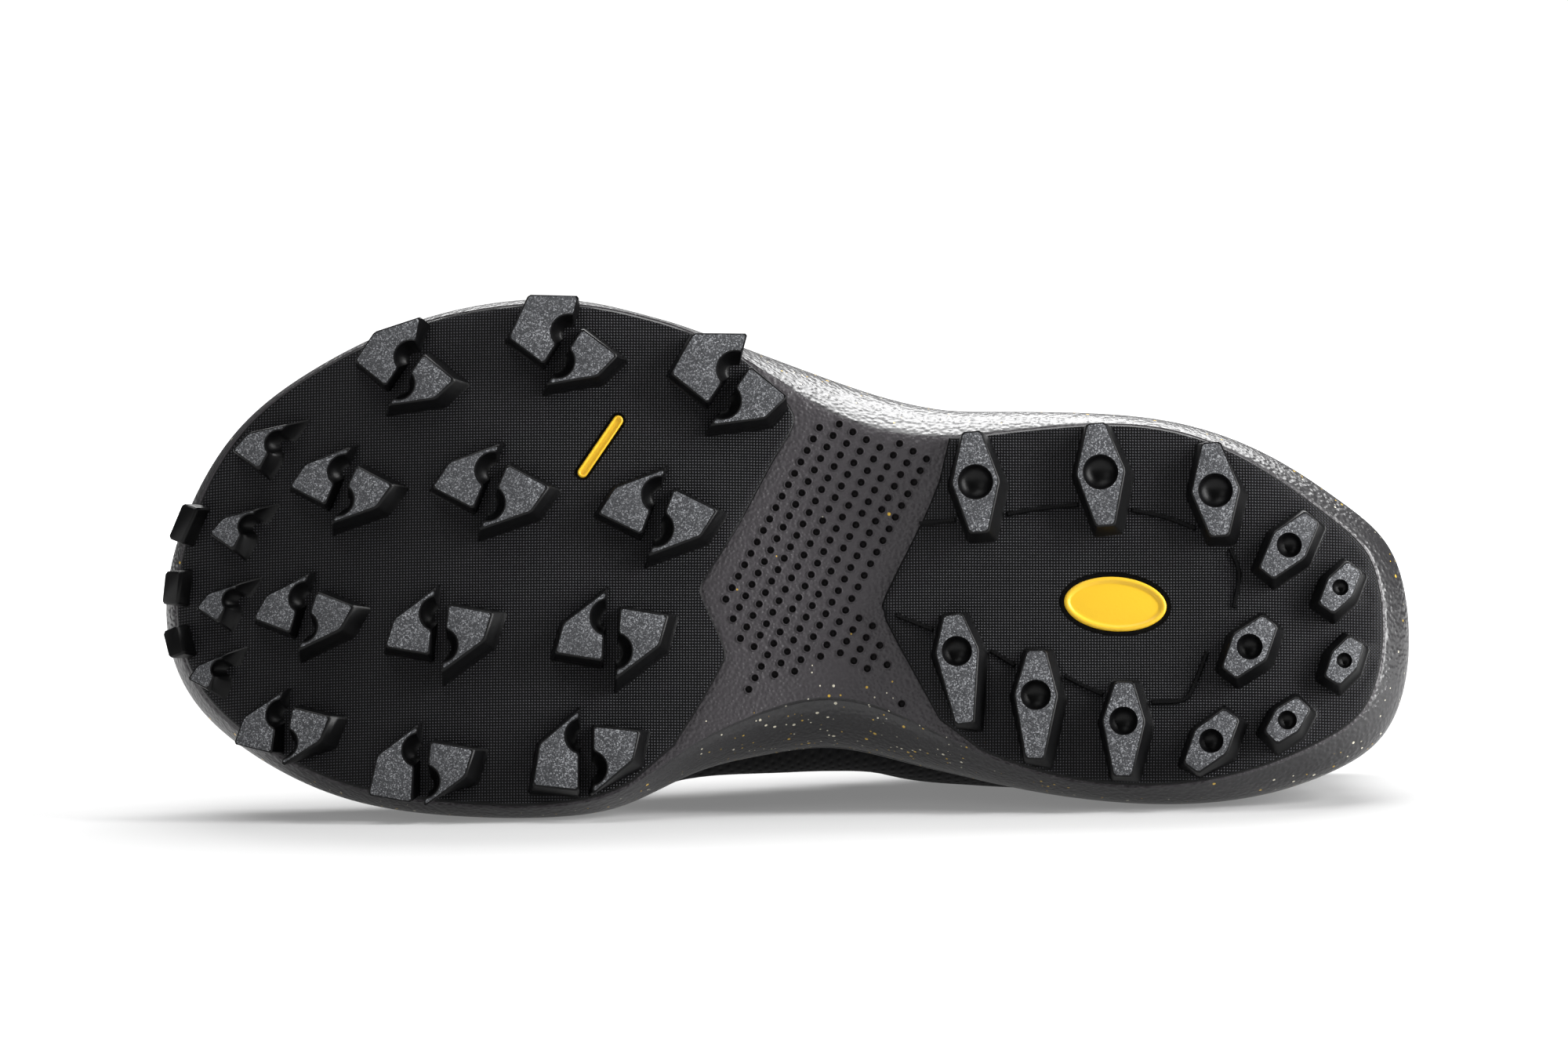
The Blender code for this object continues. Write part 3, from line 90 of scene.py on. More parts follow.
# The foam's side wall, as shares of the form's side_height: how far its bottom edge and its rim lie
# inside the widest line, and how high the widest line, the rim and the footbed lie above the toe
# spring's curve
SIDE_WALL = (
    # along, edge_inset, rim_inset, widest, rim, footbed
    (0.00, 0.150, 0.125, 0.66, 1.32, 0.79), (0.12, 0.108, 0.150, 0.46, 1.15, 0.78),
    (0.22, 0.080, 0.150, 0.43, 1.07, 0.77), (0.36, 0.200, 0.080, 0.55, 1.02, 0.75),
    (0.45, 0.250, 0.025, 0.72, 0.99, 0.72), (0.54, 0.085, 0.075, 0.55, 0.94, 0.67),
    (0.66, 0.045, 0.150, 0.40, 0.88, 0.61), (0.80, 0.040, 0.150, 0.38, 0.82, 0.56),
    (0.93, 0.042, 0.125, 0.38, 0.75, 0.48), (1.00, 0.055, 0.088, 0.44, 0.68, 0.40),
    (-0.93, 0.042, 0.125, 0.38, 0.75, 0.48), (-0.80, 0.040, 0.150, 0.38, 0.82, 0.56),
    (-0.66, 0.040, 0.150, 0.40, 0.90, 0.61), (-0.58, 0.095, 0.075, 0.55, 0.97, 0.65),
    (-0.46, 0.225, 0.020, 0.77, 1.05, 0.72), (-0.36, 0.110, 0.050, 0.60, 1.08, 0.75),
    (-0.24, 0.050, 0.138, 0.43, 1.10, 0.77), (-0.10, 0.125, 0.150, 0.47, 1.17, 0.78),
)
ACROSS = 1
EDGE_INSET, RIM_INSET, WIDEST, RIM, FOOTBED = range(1, 6)
SIDE_BULGE = 1.8
# Ribs of the upper, each a cubic curve from the foam's rim to the edge of the collar or throat:
# top_x is a share of the form's length and top_y of its heel_width. The rest are shares of its
# instep_height: top_z is the height of the top end, lean and rise are the lower handle, out and up,
# and reach and drop the upper handle, out and down from the top end.
RIBS = (
    # along, top_x, top_y, top_z, lean, rise, reach, drop
    (0.00, 0.030, -0.020, 0.97, 0.045, 0.17, -0.060, 0.19),
    (0.06, 0.070, 0.240, 0.94, 0.035, 0.16, -0.010, 0.17),
    (0.20, 0.193, 0.351, 0.81, 0.030, 0.14, 0.030, 0.14),
    (0.33, 0.307, 0.324, 0.90, 0.040, 0.16, 0.055, 0.15),
    (0.41, 0.373, 0.227, 1.00, 0.055, 0.18, 0.110, 0.10),
    (0.53, 0.493, 0.195, 0.87, 0.045, 0.16, 0.165, 0.08),
    (0.68, 0.613, 0.184, 0.74, 0.038, 0.14, 0.205, 0.06),
    (0.82, 0.677, 0.151, 0.68, 0.030, 0.13, 0.215, 0.04),
    (0.95, 0.697, 0.103, 0.665, 0.020, 0.13, 0.245, 0.03),
    (1.00, 0.700, 0.065, 0.66, 0.020, 0.13, 0.260, 0.02),
    (-0.95, 0.697, 0.022, 0.665, 0.020, 0.13, 0.245, 0.03),
    (-0.82, 0.677, -0.032, 0.68, 0.030, 0.13, 0.215, 0.04),
    (-0.68, 0.613, -0.086, 0.74, 0.038, 0.15, 0.185, 0.06),
    (-0.53, 0.493, -0.119, 0.87, 0.120, 0.17, 0.165, 0.08),
    (-0.41, 0.373, -0.151, 1.00, 0.130, 0.18, 0.130, 0.11),
    (-0.33, 0.307, -0.280, 0.90, 0.062, 0.16, 0.070, 0.15),
    (-0.20, 0.193, -0.340, 0.83, 0.030, 0.14, 0.030, 0.14),
    (-0.06, 0.070, -0.235, 0.94, 0.035, 0.16, -0.010, 0.17),
)
TOP_X, TOP_Y, TOP_Z, LEAN, RISE, REACH, DROP = range(1, 8)
BAND_TOP = 0.27
EYESTAY_FOOT = 0.81
# The front end of the heel rubber and the rear end of the forefoot rubber, from the lateral to the
# medial side: share of the length, share of the width there. Elsewhere they follow the foam's edge.
FOREFOOT_REAR_EDGE = (
    (0.511, 0.466), (0.498, 0.430), (0.494, 0.390), (0.511, 0.300), (0.540, 0.152),
    (0.562, 0.062), (0.568, 0.030), (0.565, 0.001), (0.549, -0.091), (0.553, -0.128),
    (0.569, -0.197), (0.590, -0.275),
)
FOREFOOT_PAD_ENDS = (0.530, 0.618)
HEEL_FRONT_EDGE = (
    (0.378, 0.318), (0.390, 0.223), (0.421, 0.024), (0.422, -0.015), (0.416, -0.066),
    (0.378, -0.295),
)
HEEL_PAD_ENDS = (0.366, 0.350)
# The raised line round the heel rubber's middle panel, in the runs between the lugs
PANEL_RIDGES = (
    ((0.394, 0.207), (0.370, 0.217)), ((0.322, 0.235), (0.297, 0.249), (0.275, 0.256)),
    ((0.221, 0.243), (0.198, 0.227), (0.183, 0.209)),
    ((0.142, 0.118), (0.138, 0.080), (0.142, -0.008)),
    ((0.164, -0.128), (0.174, -0.211), (0.183, -0.252), (0.206, -0.258)),
    ((0.251, -0.232), (0.265, -0.211), (0.277, -0.190)), ((0.320, -0.156), (0.336, -0.123)),
    ((0.385, -0.063), (0.412, -0.026)),
)
# Forefoot lugs: share of the length, share of the width, turn in degrees, scale, and how far the
# front half's corners are drawn out over the sole's edge, as shares of the tread's reach: its
# lateral end, its front corner and its medial corners
FOREFOOT_LUGS = (
    (0.806, 0.455, 31, 0.95, 0.36, 0.20, 0.00), (0.679, 0.496, 28, 1.02, 0.24, 0.44, 0.00),
    (0.546, 0.434, 30, 1.10, 0.22, 0.36, 0.00), (0.857, 0.235, 20, 0.96, 0.00, 0.00, 0.00),
    (0.737, 0.224, 19, 1.08, 0.00, 0.00, 0.00), (0.603, 0.174, 17, 1.10, 0.00, 0.00, 0.00),
    (0.887, -0.009, 14, 0.94, 0.00, 0.00, 0.00), (0.778, -0.052, 2, 1.04, 0.00, 0.00, 0.00),
    (0.640, -0.064, 0, 1.10, 0.00, 0.00, 0.00), (0.904, -0.234, 7, 0.92, 0.00, 0.00, 0.06),
    (0.792, -0.316, 2, 1.02, 0.00, 0.00, 0.24), (0.660, -0.293, -3, 1.06, 0.00, 0.00, 0.24),
)
# Half lugs in front of them
FRONT_LUGS = (
    (0.911, 0.300, 29, 0.80), (0.933, 0.144, 28, 0.72), (0.946, 0.004, 26, 0.66),
    (0.955, -0.128, 22, 0.60),
)
# Cleats on the tip of the toe: share of the length, share of the width, turn, length
TOE_CLEATS = (
    (0.986, 0.182, 24, 0.0090), (0.995, 0.060, 6, 0.0080), (0.993, -0.048, -14, 0.0072),
)
CLEAT_WIDTH = 0.0042
# The direction towards which the lugs' walls slope most
RAMP_WAY = (-0.90, -0.44)
# One half of a forefoot lug's top, as shares of the tread's reach, forward and sideways from its
# centre: lateral end, foot of the groove, medial corner, front corner
LUG_HALF = (
    (0.02, 0.80), (0.10, -0.48), (1.00, -0.34), (0.85, 0.20),
)
BITE_CENTRE = (0.04, 0.30)
BITE_RADIUS = 0.32
# How far the bite's wall slopes out below the top, as a share of its radius
BITE_SLOPE = 0.55
# Heel lugs: share of the length, share of the width, turn in degrees, how far the top reaches from
# its dimple to the lateral and to the medial side, its width, and the dimple's radius
HEEL_LUGS = (
    (0.349, 0.312, -4, 0.0124, 0.0124, 0.0117, 0.0041),
    (0.249, 0.338, -5, 0.0120, 0.0132, 0.0120, 0.0041),
    (0.157, 0.290, -5, 0.0118, 0.0112, 0.0120, 0.0040),
    (0.098, 0.150, 39, 0.0090, 0.0090, 0.0098, 0.0029),
    (0.057, 0.043, 34, 0.0064, 0.0064, 0.0076, 0.0019),
    (0.054, -0.148, 31, 0.0060, 0.0060, 0.0074, 0.0018),
    (0.130, -0.118, 38, 0.0082, 0.0082, 0.0102, 0.0030),
    (0.100, -0.308, 43, 0.0060, 0.0060, 0.0078, 0.0022),
    (0.161, -0.365, 37, 0.0083, 0.0083, 0.0098, 0.0028),
    (0.231, -0.313, 1, 0.0095, 0.0135, 0.0104, 0.0033),
    (0.301, -0.245, 1, 0.0109, 0.0156, 0.0106, 0.0035),
    (0.364, -0.130, -6, 0.0090, 0.0178, 0.0106, 0.0035),
)
HEEL_LUG_END = 0.0046
HEEL_LUG_END_SHARE = 0.6
# Badges in the rubber: share of the length, share of the width, turn in degrees
HEEL_BADGE_PLACE = (0.237, 0.000, 4)
FOREFOOT_BADGE_PLACE = (0.649, 0.306, -56)
# The tongue: its last stations before it leaves the throat, and its free end above them
TONGUE_FROM = 0.430
TONGUE_TO = 0.930
TONGUE_LAP = 0.20
TONGUE_END_LAP = 0.10
TONGUE_END = (
    # back, up, width
    (0.30, 0.10, 0.74), (0.65, 0.55, 0.70), (0.90, 0.90, 0.64), (1.00, 1.00, 0.48),
)
TONGUE_END_BACK = 0.022
TONGUE_END_RISE = 0.020
# Two edges whose directions agree this well, as the cosine between them, are moved as one
STRAIGHT_JOIN = 0.94
# The arch's dimpled field, and the first dimple and the two steps of their grid, in the shoe's x, y
ARCH_FIELD = (
    (0.1415, 0.0471), (0.1362, 0.0452), (0.1167, 0.0367), (0.1159, 0.0351), (0.1225, 0.0228),
    (0.1320, 0.0057), (0.1325, -0.0007), (0.1293, -0.0047), (0.1235, -0.0188), (0.1272, -0.0162),
    (0.1388, -0.0135), (0.1483, -0.0162), (0.1526, -0.0167), (0.1594, -0.0215), (0.1658, -0.0258),
    (0.1637, -0.0220), (0.1589, -0.0135), (0.1631, -0.0039), (0.1658, 0.0015),
)
DIMPLE_GRID = ((0.1421, 0.0434), (-0.00325, -0.00193), (0.0015, -0.0028))

# Creases of the upper: from (share of the length, row) to (share, row), width, depth. A negative
# depth is a ridge.
CREASES = (
    (0.66, 0.34, 0.61, 0.70, 0.0032, 0.0009), (0.70, 0.30, 0.68, 0.62, 0.0026, 0.0007),
    (0.62, 0.26, 0.55, 0.58, 0.0040, 0.0007), (0.645, 0.36, 0.60, 0.66, 0.0050, -0.0006),
    (0.40, 0.30, 0.47, 0.66, 0.0050, 0.0008), (0.26, 0.62, 0.36, 0.55, 0.0050, 0.0007),
    (0.12, 0.55, 0.22, 0.66, 0.0055, 0.0006), (0.80, 0.45, 0.88, 0.62, 0.0045, 0.0006),
    (-0.67, 0.32, 0.62, 0.68, 0.0032, 0.0009), (-0.71, 0.30, 0.69, 0.60, 0.0026, 0.0006),
    (-0.60, 0.24, 0.53, 0.58, 0.0042, 0.0008), (-0.65, 0.36, 0.61, 0.66, 0.0050, -0.0006),
    (-0.42, 0.26, 0.48, 0.64, 0.0050, 0.0009), (-0.27, 0.60, 0.37, 0.52, 0.0050, 0.0007),
    (-0.12, 0.52, 0.21, 0.64, 0.0055, 0.0006), (-0.80, 0.44, 0.88, 0.60, 0.0045, 0.0006),
)


class Side(Enum):
    """The two sides of the shoe."""

    LATERAL = "lateral"
    MEDIAL = "medial"


class Foot(Enum):
    """The numbers of a pad's finishes on its mesh."""

    WOVEN = 0
    SMOOTH = 1
    GRAINED = 2


# Numbers, curves and loops

def linear(code: str) -> tuple[float, float, float, float]:
    """An sRGB hex colour as a linear one.

    Args:
        code: the colour, such as "#1a1a1c".

    Returns:
        Red, green, blue and alpha.
    """
    values = [int(code[k : k + 2], 16) / 255.0 for k in (1, 3, 5)]
    return (*(v / 12.92 if v <= 0.04045 else ((v + 0.055) / 1.055) ** 2.4 for v in values), 1.0)


def ease(value: Any) -> Any:
    """A smooth step from 0 to 1 for a number or an array."""
    t = np.clip(value, 0.0, 1.0)
    return t * t * (3.0 - 2.0 * t)


def unit(vectors: Array) -> Array:
    """Rows of vectors, each brought to a length of one."""
    return vectors / norm(vectors, axis=1)[:, None]


def leftwards(runs: Array) -> Array:
    """Rows of flat vectors, each turned to its left."""
    return np.stack([-runs[:, 1], runs[:, 0]], 1)


def edges_of(loop: Array) -> Array:
    """The vectors along the edges of a closed loop."""
    return np.roll(loop, -1, axis=0) - loop


def circle(count: int) -> Array:
    """The angles of evenly spaced points round a closed ring."""
    return np.arange(count) * 2.0 * math.pi / count


def angle_of(side: Side, along: float) -> float:
    """The angle round the shoe of a share of its length on one side.

    Args:
        side: the side.
        along: the share of the length from the heel.

    Returns:
        The angle in radians.
    """
    turn = math.acos(max(-1.0, min(1.0, 1.0 - 2.0 * along)))
    return turn if side is Side.LATERAL else 2.0 * math.pi - turn


@lru_cache(maxsize=None)
def solved(rows: tuple, column: int) -> tuple[Array, Array, Array, Array]:
    """The smooth closed curve of period two pi through one column of a table round the shoe.

    Args:
        rows: the table, each row with its share of the length first.
        column: the column that the curve runs through.

    Returns:
        The knots' angles in order, their values, the steps between them and the curve's slopes.
    """
    sides = [Side.MEDIAL if row[0] < 0.0 else Side.LATERAL for row in rows]
    knots = np.array([angle_of(side, abs(row[0])) for side, row in zip(sides, rows)])
    order = np.argsort(knots)
    x = knots[order]
    y = np.array([row[column] for row in rows])[order]
    n = len(x)
    step = np.diff(np.append(x, x[0] + 2.0 * math.pi))
    rise = np.diff(np.append(y, y[0])) / step
    matrix = np.zeros((n, n))
    right = np.zeros(n)
    for i in range(n):
        before = (i - 1) % n
        matrix[i, before] += 1.0 / step[before]
        matrix[i, i] += 2.0 * (1.0 / step[before] + 1.0 / step[i])
        matrix[i, (i + 1) % n] += 1.0 / step[i]
        right[i] = 3.0 * (rise[before] / step[before] + rise[i] / step[i])
    return x, y, step, np.linalg.solve(matrix, right)


def station(rows: tuple, column: int, angles: Any) -> Array:
    """One column of a table of stations round the shoe, read at the angles.

    Args:
        rows: the table, each row with its share of the length first.
        column: the column to read.
        angles: where to read it.

    Returns:
        The values at the angles.
    """
    x, y, step, slope = solved(rows, column)
    wrapped = np.mod(np.asarray(angles, float) - x[0], 2.0 * math.pi) + x[0]
    i = np.clip(np.searchsorted(x, wrapped, side="right") - 1, 0, len(x) - 1)
    t = (wrapped - x[i]) / step[i]
    after = (i + 1) % len(x)
    return (
        (1 + 2 * t) * (1 - t) ** 2 * y[i]
        + t * (1 - t) ** 2 * step[i] * slope[i]
        + t * t * (3 - 2 * t) * y[after]
        + t * t * (t - 1) * step[i] * slope[after]
    )


def along_of(angles: Any) -> Array:
    """The share of the length at an angle."""
    return (1.0 - np.cos(np.asarray(angles, float))) / 2.0


def smooth_path(knots: Sequence[Any], count: int) -> Array:
    """A smooth open curve through points.

    Args:
        knots: the points, in any number of dimensions.
        count: how many points the curve gets between two knots.

    Returns:
        The curve's points, knots included.
    """
    line = np.asarray(knots, float)
    padded = np.vstack([2.0 * line[0] - line[1], line, 2.0 * line[-1] - line[-2]])
    made = []
    for a, b, c, d in zip(padded, padded[1:], padded[2:], padded[3:]):
        for t in np.arange(count) / count:
            made.append(0.5 * (
                2.0 * b + (c - a) * t + (2.0 * a - 5.0 * b + 4.0 * c - d) * t**2
                + (3.0 * b - a - 3.0 * c + d) * t**3
            ))
    return np.array([*made, line[-1]])


def signed_area(loop: Array) -> float:
    """Twice the area of a flat loop, positive when it runs counterclockwise."""
    after = np.roll(loop, -1, axis=0)
    return float(np.sum(loop[:, 0] * after[:, 1] - loop[:, 1] * after[:, 0]))


def shrunk(loop: Array, distance: Any) -> Array:
    """A counterclockwise loop moved inwards.

    Args:
        loop: the flat loop.
        distance: one distance, or one for each edge. A negative one moves outwards.

    Returns:
        The moved loop.
    """
    ahead = leftwards(unit(edges_of(loop)))
    behind = np.roll(ahead, 1, axis=0)
    far = np.broadcast_to(distance, len(loop))
    near = np.roll(far, 1)
    turn = np.sum(ahead * behind, axis=1)
    bend = np.maximum(1.0 - turn**2, 1.0 - STRAIGHT_JOIN)
    weights = np.stack([far - near * turn, near - far * turn], 1) / bend[:, None]
    straight = np.stack([far, near], 1) / (1.0 + turn)[:, None]
    weights = np.where((turn > STRAIGHT_JOIN)[:, None], straight, weights)
    return loop + ahead * weights[:, :1] + behind * weights[:, 1:]


def eased(loop: Array, radius: float) -> Array:
    """A loop with each of its corners cut to two, so that its walls turn softly.

    Args:
        loop: the loop, flat or in space.
        radius: how far from the corner it is cut, at most 0.3 of the edge.

    Returns:
        A loop with twice the points.
    """
    made = []
    for k, corner in enumerate(loop):
        for other in (loop[k - 1], loop[(k + 1) % len(loop)]):
            run = other - corner
            length = float(norm(run))
            made.append(corner + run * min(radius / length, 0.3))
    return np.array(made)


def nearest_inside(points: Array, loop: Array) -> tuple[Array, Array]:
    """How far points lie inside a counterclockwise loop.

    Args:
        points: flat points.
        loop: the flat loop.

    Returns:
        The distance of each point inside the loop, and the direction inwards there.
    """
    run = edges_of(loop)
    length = norm(run, axis=1)
    inward = leftwards(run) / length[:, None]
    depths, ways = [], []
    for point in points:
        share = np.clip(np.sum((point - loop) * run, axis=1) / length**2, 0.0, 1.0)
        away = point - (loop + run * share[:, None])
        far = norm(away, axis=1)
        k = int(np.argmin(far))
        depths.append(math.copysign(far[k], float(np.dot(point - loop[k], inward[k]))))
        ways.append(inward[k])
    return np.array(depths), np.array(ways)


def kept_inside(loop: Array, border: Array, margin: float) -> Array:
    """A loop whose points lie at least the margin inside a border."""
    depth, way = nearest_inside(loop, border)
    return loop + way * np.maximum(0.0, margin - depth)[:, None]


# The shoe's form

@dataclass(frozen=True)
class ShoeForm:
    """The shoe's driving sizes and the curves that all pieces share."""

    length: float = 0.300
    ball_width: float = 0.1245
    heel_width: float = 0.0925
    side_height: float = 0.040
    instep_height: float = 0.107
    spring_start: float = 0.200
    spring_radius: float = 0.190
    bevel_start: float = 0.055
    bevel_radius: float = 0.150
    wrap_start: float = 0.2800
    wrap: float = 0.0055
    edge_roll: float = 0.0013
    edge_roll_from: float = 0.55
    arch_hollow: float = 0.0030
    arch_centre: float = 0.138
    arch_reach: float = 0.034
    rubber: float = 0.0018
    panel_centre: tuple[float, float] = (0.0830, -0.0010)
    panel_reach: tuple[float, float] = (0.0400, 0.0190)
    panel_hollow: float = 0.0008
    lug_height: float = 0.0047
    rim_width: float = 0.0030
    wall: float = 0.0020
    gap: float = 0.0003
    # Where the sole widens to the ball and over what share of the length
    widening: tuple[float, float] = (0.35, 0.25)
    least_half_width: float = 0.012
    throat_lean: float = 0.020

    def turn_of(self, x: Any) -> Array:
        """The lateral angle of a place along the length."""
        return np.arccos(np.clip(1.0 - 2.0 * np.asarray(x, float) / self.length, -1.0, 1.0))

    def local_width(self, along: Any) -> Array:
        """The width that a share across the sole is taken of, at a share of the length."""
        share = ease((np.asarray(along) - self.widening[0]) / self.widening[1])
        return self.heel_width + (self.ball_width - self.heel_width) * share

    def plan(self, along: float, across: float) -> Array:
        """The point of the sole, seen from above, at these shares."""
        return np.array([self.length * along, across * float(self.local_width(along))])

    def outline(self, angles: Any) -> Array:
        """The widest line of the sole, as an array of x, y."""
        along = along_of(angles)
        across = station(OUTLINE, ACROSS, angles) * self.local_width(along)
        return np.stack([self.length * along, across], 1)

    def outward(self, angles: Any) -> Array:
        """Unit vectors out of the sole, seen from above, along its widest line."""
        small = 1e-3
        return unit(leftwards(self.outline(angles + small) - self.outline(angles - small)))

    def inset(self, angles: Any, inset: Any) -> Array:
        """The widest line moved inwards by the inset at each angle."""
        return self.outline(angles) - self.outward(angles) * np.reshape(inset, (-1, 1))

    def toe_spring(self, x: Any) -> Array:
        """How far the sole's curve rises towards the toe."""
        return np.maximum(0.0, x - self.spring_start) ** 2 / (2.0 * self.spring_radius)

    def ground(self, x: Any) -> Array:
        """The height of the lugs' tops: flat in the middle, rising at the toe and at the heel."""
        bevel = np.maximum(0.0, self.bevel_start - x) ** 2 / (2.0 * self.bevel_radius)
        share = np.clip((x - self.wrap_start) / (self.length - self.wrap_start), 0.0, 1.2)
        return self.toe_spring(x) + bevel + self.wrap * share**2

    def underside(self, points: Array) -> Array:
        """The height of the foam's bottom at these x, y, over which the rubber lies."""
        x, y = np.atleast_2d(points)[:, 0], np.atleast_2d(points)[:, 1]
        lateral = self.outline(self.turn_of(x))[:, 1]
        medial = self.outline(2.0 * math.pi - self.turn_of(x))[:, 1]
        half = np.maximum((lateral - medial) / 2.0, self.least_half_width)
        edge = np.abs(y - (lateral + medial) / 2.0) / half
        share = np.clip(1.0 - (1.0 - edge) / (1.0 - self.edge_roll_from), 0.0, 1.0)
        hollow = self.arch_hollow * ease(1.0 - np.abs(x - self.arch_centre) / self.arch_reach)
        lift = self.lug_height + self.rubber + self.gap
        return self.ground(x) + self.edge_roll * share**2 + hollow + lift

    def rubber_face(self, points: Array) -> Array:
        """The height of the rubber's outer face between the lugs, with the heel's soft hollow."""
        share = (np.atleast_2d(points)[:, :2] - self.panel_centre) / self.panel_reach
        hollow = self.panel_hollow * ease(1.6 - 1.6 * np.sum(share**2, axis=1))
        return self.underside(points) - self.gap - self.rubber + hollow

    def footbed(self, points: Array) -> Array:
        """The height of the foam's floor under the insole."""
        x = np.atleast_2d(points)[:, 0]
        return self.toe_spring(x) + self.side_height * station(SIDE_WALL, FOOTBED, self.turn_of(x))

    def down(self, point: Array) -> Array:
        """The direction out of the sole at a point, at right angles to the ground line."""
        small = 1e-4
        slope = float(self.ground(point[0] + small) - self.ground(point[0] - small)) / (2.0 * small)
        return np.array([slope, 0.0, -1.0]) / math.hypot(slope, 1.0)

    def foam_side(self, angles: Array, level: float, depth: Any = 0.0) -> Array:
        """A ring of the foam's side.

        Args:
            angles: the ring's angles.
            level: -1 is its bottom edge, 0 its widest line and 1 its rim.
            depth: how far the ring is sunk inwards, one value or one for each angle.

        Returns:
            The ring's points.
        """
        edge = station(SIDE_WALL, EDGE_INSET, angles) * self.side_height
        rim = station(SIDE_WALL, RIM_INSET, angles) * self.side_height
        inset = (edge if level < 0.0 else rim) * abs(level) ** SIDE_BULGE + depth
        spring = self.toe_spring(self.outline(angles)[:, 0])
        widest = spring + station(SIDE_WALL, WIDEST, angles) * self.side_height
        top = spring + station(SIDE_WALL, RIM, angles) * self.side_height
        end = self.underside(self.inset(angles, edge)) if level < 0.0 else top
        height = widest + (end - widest) * abs(level)
        return column_stack([self.inset(angles, inset), height])

    def cup_inset(self, angles: Array, clearance: float) -> Array:
        """How far a line inside the foam's cup lies inside the widest line."""
        return station(SIDE_WALL, RIM_INSET, angles) * self.side_height + self.rim_width + clearance

    def upper_face(self, angles: Any, row: Any) -> Array:
        """The upper's outer face.

        Args:
            angles: angles round the shoe.
            row: one row or one for each angle: -1 is in the foam's cup, 0 at its rim and 1 the top.

        Returns:
            The points of the face.
        """
        angles = np.atleast_1d(np.asarray(angles, float))
        t = np.broadcast_to(np.asarray(row, float), angles.shape)[:, None]
        flat = self.inset(angles, self.cup_inset(angles, self.gap))
        rim = self.foam_side(angles, 1.0)[:, 2]
        start = column_stack([flat, rim])
        low = start.copy()
        low[:, 2] += (rim - self.footbed(flat) - self.gap) * np.minimum(t[:, 0], 0.0)
        top = column_stack([
            self.length * station(RIBS, TOP_X, angles),
            self.heel_width * station(RIBS, TOP_Y, angles),
            self.instep_height * station(RIBS, TOP_Z, angles),
        ])
        lean, rise, reach, drop = (
            self.instep_height * station(RIBS, k, angles) for k in (LEAN, RISE, REACH, DROP)
        )
        out = self.outward(angles)
        way = unit(start[:, :2] - top[:, :2] + out * self.throat_lean)
        lower = start + column_stack([out * lean[:, None], rise])
        upper = top + column_stack([way * reach[:, None], -drop])
        s = np.maximum(t, 0.0)
        curve = (
            start * (1 - s) ** 3 + lower * 3 * s * (1 - s) ** 2 + upper * 3 * s * s * (1 - s)
            + top * s**3
        )
        return np.where(t < 0.0, low, curve)

    def upper_normal(self, angles: Any, row: Any) -> Array:
        """Unit vectors out of the upper's outer face, at angles and rows as in upper_face."""
        angles = np.atleast_1d(np.asarray(angles, float))
        rows = np.broadcast_to(np.asarray(row, float), angles.shape)
        small = 0.01
        around = self.upper_face(angles + small, rows) - self.upper_face(angles - small, rows)
        up = self.upper_face(angles, np.minimum(rows + small, 1.0)) - self.upper_face(
            angles, np.maximum(rows - small, -1.0)
        )
        normal = unit(np.cross(up, around))
        flat = column_stack([self.outward(angles), np.zeros(len(angles))])
        return np.where((rows <= 0.0)[:, None], flat, normal)


FORM = ShoeForm()


# Meshes and finishes

def placed_object(name: str, data: bpy.types.ID) -> Thing:
    """Makes an object from its data and puts it into the scene."""
    made = bpy.data.objects.new(name, data)
    bpy.context.scene.collection.objects.link(made)
    return made


class Piece:
    """A sub-assembly that is drawn as one piece, in the place of one solid."""

    def build(self, finishes: Sequence[Material]) -> Thing:
        """Makes the piece. Each sub-assembly has its own way.

        Args:
            finishes: its materials, in the order of its faces' finish numbers.

        Returns:
            The piece's object.
        """
        raise NotImplementedError


